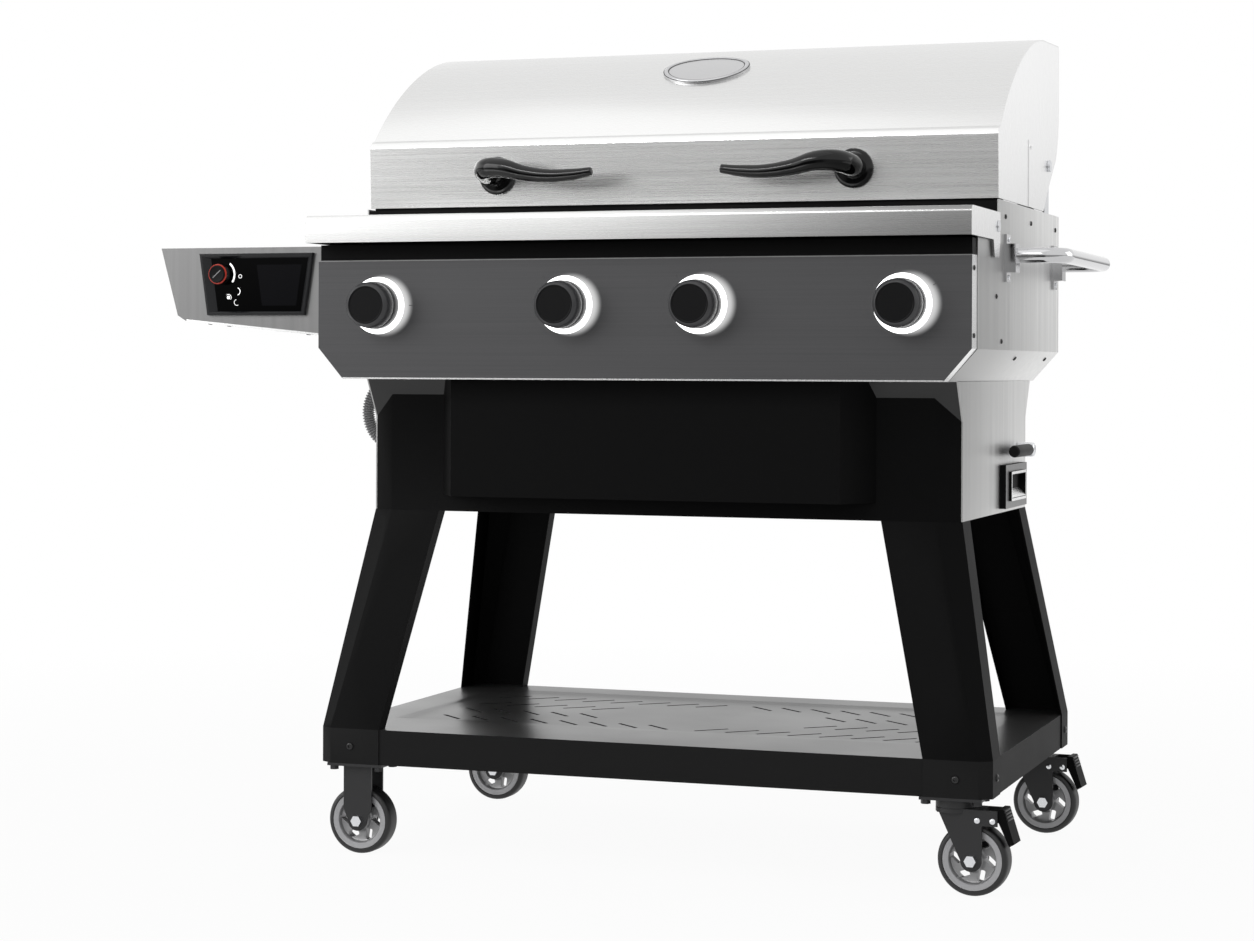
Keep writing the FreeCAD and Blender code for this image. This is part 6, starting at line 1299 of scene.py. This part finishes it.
class GrillCasters(bpy.types.Operator):
    """Makes the wheels, forks, rivets and pedal ribs of the four casters"""
    bl_idname = "grill.casters"
    bl_label = "Casters"

    def execute(self, context):
        rim = self.rim()
        for row in ("front", "rear"):
            for side in ("left", "right"):
                self.wheel("wheel_" + row + "_" + side, rim)
            self.swivel(row)
        bpy.data.meshes.remove(rim)
        self.mounts()
        return {"FINISHED"}

    def rim(self):
        """The spoked rim about Z, with its slanted holes cut through."""
        body = linked("rim", mesh_of([(turned(RIM_FORM, 96, closed=True), IN_PLACE, 0)], "rim"))
        cutters = []
        for hole in range(SPOKE_HOLES):
            cutter = block(SPOKE_HOLE_HALF[0] * MM * 2, SPOKE_HOLE_HALF[1] * MM * 2, 0.04)
            upright = [edge for edge in cutter.edges if abs((edge.verts[0].co - edge.verts[1].co).z) > 0.01]
            bmesh.ops.bevel(cutter, geom=upright, offset=0.0022, segments=3, affect="EDGES", profile=0.5)
            spin = Matrix.Rotation(2 * math.pi * hole / SPOKE_HOLES, 4, "Z")
            out = Matrix.Translation((SPOKE_HOLE_RADIUS * MM, 0, 0))
            cutters.append((cutter, spin @ out @ Matrix.Rotation(SPOKE_HOLE_TILT, 4, "Z"), 0))
        tool = linked("rim_holes", mesh_of(cutters, "rim_holes"))
        cut = body.modifiers.new("holes", "BOOLEAN")
        cut.operation = "DIFFERENCE"
        cut.solver = "EXACT"
        cut.object = tool
        result = plain_mesh(body)
        bpy.data.objects.remove(body)
        bpy.data.objects.remove(tool)
        return result

    def wheel(self, name, rim):
        place, axis = joint_line(name + "_roll")
        rim_shell = bmesh.new()
        rim_shell.from_mesh(rim)
        shells = [(rim_shell, standing(place, axis), 0),
                  (turned(TYRE_FORM, 96, closed=True), standing(place, axis), 2)]
        mesh = mesh_of(shells, name)
        for face in mesh.polygons:
            if face.material_index == 0 and off_line(face.center, place, axis) > RIM_BAND_INNER * MM:
                face.material_index = 1
        add_piece(name + "_dressed", mesh, name, ["rim", "rim_band", "tyre"], [name])

    def bright_axles(self, node, wheels):
        """A copy of a node whose axles and nuts get the second finish."""
        lines = [joint_line(wheel + "_roll") for wheel in wheels]

        def on_axle(face):
            for place, axis in lines:
                if max(off_line(vert.co, place, axis) for vert in face.verts) < AXLE_RADIUS:
                    return True
            return False

        return dressed_copy(node, on_axle)

    def swivel(self, row):
        node = "swivel_fork_" + row
        body = "swivel_" + row
        dressed = self.bright_axles(node, ["wheel_" + row + "_right"])
        add_piece(node + "_dressed", dressed, body, ["fork", "zinc"], [node])
        place, up = joint_line("swivel_" + row + "_turn")
        pin, axle = joint_line("brake_" + row + "_press")
        out = Vector((pin.x - place.x, pin.y - place.y, 0)).normalized()
        foot = Vector((place.x, place.y, pin.z))
        seats = []
        for side in (-1, 1):
            for reach in RIVET_REACHES:
                seats.append((foot + out * reach + axle * side * RIVET_SIDE, axle * side, 1.0))
        rivets = scattered_mesh("rivets_" + row, turned(RIVET_FORM, 24), seats, "zinc")
        add_piece("fork_rivets_" + row, rivets, body, ["zinc"])
        ribs = []
        top = foot + out * PEDAL_TOP[0] + UP * PEDAL_TOP[1]
        bottom = foot + out * PEDAL_BOTTOM[0] + UP * PEDAL_BOTTOM[1]
        for share in PEDAL_RIB_SHARES:
            ribs.append((top + (bottom - top) * share, axle, 1.0))
        rib = small_bar(sizes().pedal_rib_width, PEDAL_RIB_LENGTH)
        bars = scattered_mesh("ribs_" + row, rib, ribs, "fork")
        add_piece("pedal_ribs_" + row, bars, "brake_" + row, ["fork"])

    def mounts(self):
        dressed = self.bright_axles("caster_mounts", ["wheel_front_left", "wheel_rear_left"])
        add_piece("caster_mounts_dressed", dressed, "cart", ["fork", "zinc"],
                  ["caster_mounts"])


class GrillDrawer(bpy.types.Operator):
    """Makes the drawer's pull cup and the lever's grip"""
    bl_idname = "grill.drawer"
    bl_label = "Drawer pull and lever"

    def execute(self, context):
        self.cup()
        self.lever()
        return {"FINISHED"}

    def cup(self):
        """A dark lining in the pull's pocket, painted shade, with a sloping foot in the bright end steel, a
        painted highlight on the pocket's floor.
        """
        low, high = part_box("grease_drawer")
        outer = high.x - 0.0002
        back = high.x - PULL_DEPTH
        wall = PULL_WALL
        left = PANEL_Y + PULL_MIDDLE[0] - PULL_HALF[0]
        right = PANEL_Y + PULL_MIDDLE[0] + PULL_HALF[0]
        bottom = PULL_MIDDLE[1] - PULL_HALF[1]
        top = PULL_MIDDLE[1] + PULL_HALF[1]

        def ring(inset, x):
            y0, y1 = left + inset, right - inset
            z0, z1 = bottom + inset, top - inset
            return [Vector((x, y0, z0)), Vector((x, y1, z0)), Vector((x, y1, z1)), Vector((x, y0, z1))]

        lining_rings = [ring(0, outer), ring(0, back), ring(wall, back + wall), ring(wall, outer)]
        lining = skinned(lining_rings, loop=True)
        floor = skinned([ring(0, back), ring(0, back + wall)], cap_start=True, cap_end=True)
        foot_z = bottom + wall
        foot_back, foot_front = PULL_FOOT_HEIGHTS
        profile = [(outer, foot_z), (back + wall, foot_z), (back + wall, foot_z + foot_back),
                   (outer, foot_z + foot_front)]
        ends = [[Vector((x, y, z)) for x, z in profile] for y in (left + wall, right - wall)]
        foot = skinned(ends, cap_start=True, cap_end=True)
        shells = [(lining, IN_PLACE, 0), (floor, IN_PLACE, 0), (foot, IN_PLACE, 1)]
        add_shells("pull_cup", shells, "grease_drawer", ["strip", "end_steel"])

    def lever(self):
        place, axis = joint_line("lever_turn")
        steps = sizes().turn_steps
        boss_seat = Vector((BODY_X + LEVER_BOSS_X, place.y, place.z))
        grip_seat = Vector((BODY_X + LEVER_GRIP_X, place.y, place.z))
        low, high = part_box("lever")
        shaft_seat = Vector((low.x, place.y, place.z))
        flap_size = Vector((FLAP_LENGTH, FLAP_THICKNESS, high.z - place.z))
        flap_middle = Vector((low.x + flap_size.x / 2, place.y, place.z + flap_size.z / 2))
        shells = [
            (turned(LEVER_GRIP_FORM, steps), standing(grip_seat, FRONT), 0),
            (turned(LEVER_BOSS_FORM, steps), standing(boss_seat, RIGHT), 1),
            (turned(LEVER_SHAFT_FORM, 24), standing(shaft_seat, RIGHT), 1),
            (block(*flap_size), Matrix.Translation(flap_middle), 1),
        ]
        add_shells("lever_dressed", shells, "lever", ["grip", "zinc"], ["lever"])


class GrillScrews(bpy.types.Operator):
    """Makes socket screws where the solids have their screw heads"""
    bl_idname = "grill.screws"
    bl_label = "Screws"

    def execute(self, context):
        low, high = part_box("side_handle")
        margin = 0.02
        groups = {"screw": [], "zinc": []}
        for seat in seats_of("body_screws"):
            beside = all(low[axis] - margin < seat[0][axis] < high[axis] + margin for axis in range(3))
            groups["zinc" if beside else "screw"].append(seat)
        shells = []
        for index, (finish, seats) in enumerate(groups.items()):
            heads = scattered_mesh(finish + "_heads", screw_head(), seats, finish, sizes().head_scale)
            shell = bmesh.new()
            shell.from_mesh(heads)
            shells.append((shell, IN_PLACE, index))
        add_shells("socket_screws", shells, "cart", list(groups), ["body_screws"])
        return {"FINISHED"}


class GrillInlet(bpy.types.Operator):
    """Makes the contacts of the power inlet"""
    bl_idname = "grill.inlet"
    bl_label = "Power inlet"

    def execute(self, context):
        low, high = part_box("power_inlet")
        middle = (low + high) / 2
        seats = []
        for x, z in INLET_PINS:
            seats.append((Vector((middle.x + x, low.y + INLET_PIN_DEPTH, middle.z + z)), BACK, 1.0))
        mesh = scattered_mesh("inlet_contacts", small_bar(*INLET_PIN_SIZE), seats, "brass")
        add_piece("inlet_contacts", mesh, "cart", ["brass"])
        return {"FINISHED"}


class GrillPanel(bpy.types.Panel):
    """Lists the grill's steps in the sidebar"""
    bl_idname = "VIEW3D_PT_grill"
    bl_label = "Pellet grill"
    bl_space_type = "VIEW_3D"
    bl_region_type = "UI"
    bl_category = "Grill"

    def draw(self, context):
        for step in STEPS:
            self.layout.operator(step.bl_idname)


STEPS = (GrillStage, GrillFinish, GrillSheets, GrillHose, GrillLid, GrillKnobs, GrillDisplay, GrillCasters,
         GrillDrawer, GrillScrews, GrillInlet)
CLASSES = (GrillFinishes, GrillSizes) + STEPS + (GrillPanel,)


def register():
    for item in CLASSES:
        bpy.utils.register_class(item)
    bpy.types.Scene.grill_finishes = PointerProperty(type=GrillFinishes)
    bpy.types.Scene.grill_sizes = PointerProperty(type=GrillSizes)


def unregister():
    del bpy.types.Scene.grill_sizes
    del bpy.types.Scene.grill_finishes
    for item in reversed(CLASSES):
        bpy.utils.unregister_class(item)


def main():
    register()
    bpy.ops.grill.stage()
    bpy.ops.grill.finish()
    bpy.ops.grill.sheets()
    bpy.ops.grill.hose()
    bpy.ops.grill.lid()
    bpy.ops.grill.knobs()
    bpy.ops.grill.display()
    bpy.ops.grill.casters()
    bpy.ops.grill.drawer()
    bpy.ops.grill.screws()
    bpy.ops.grill.inlet()


if __name__ == "__main__":
    main()
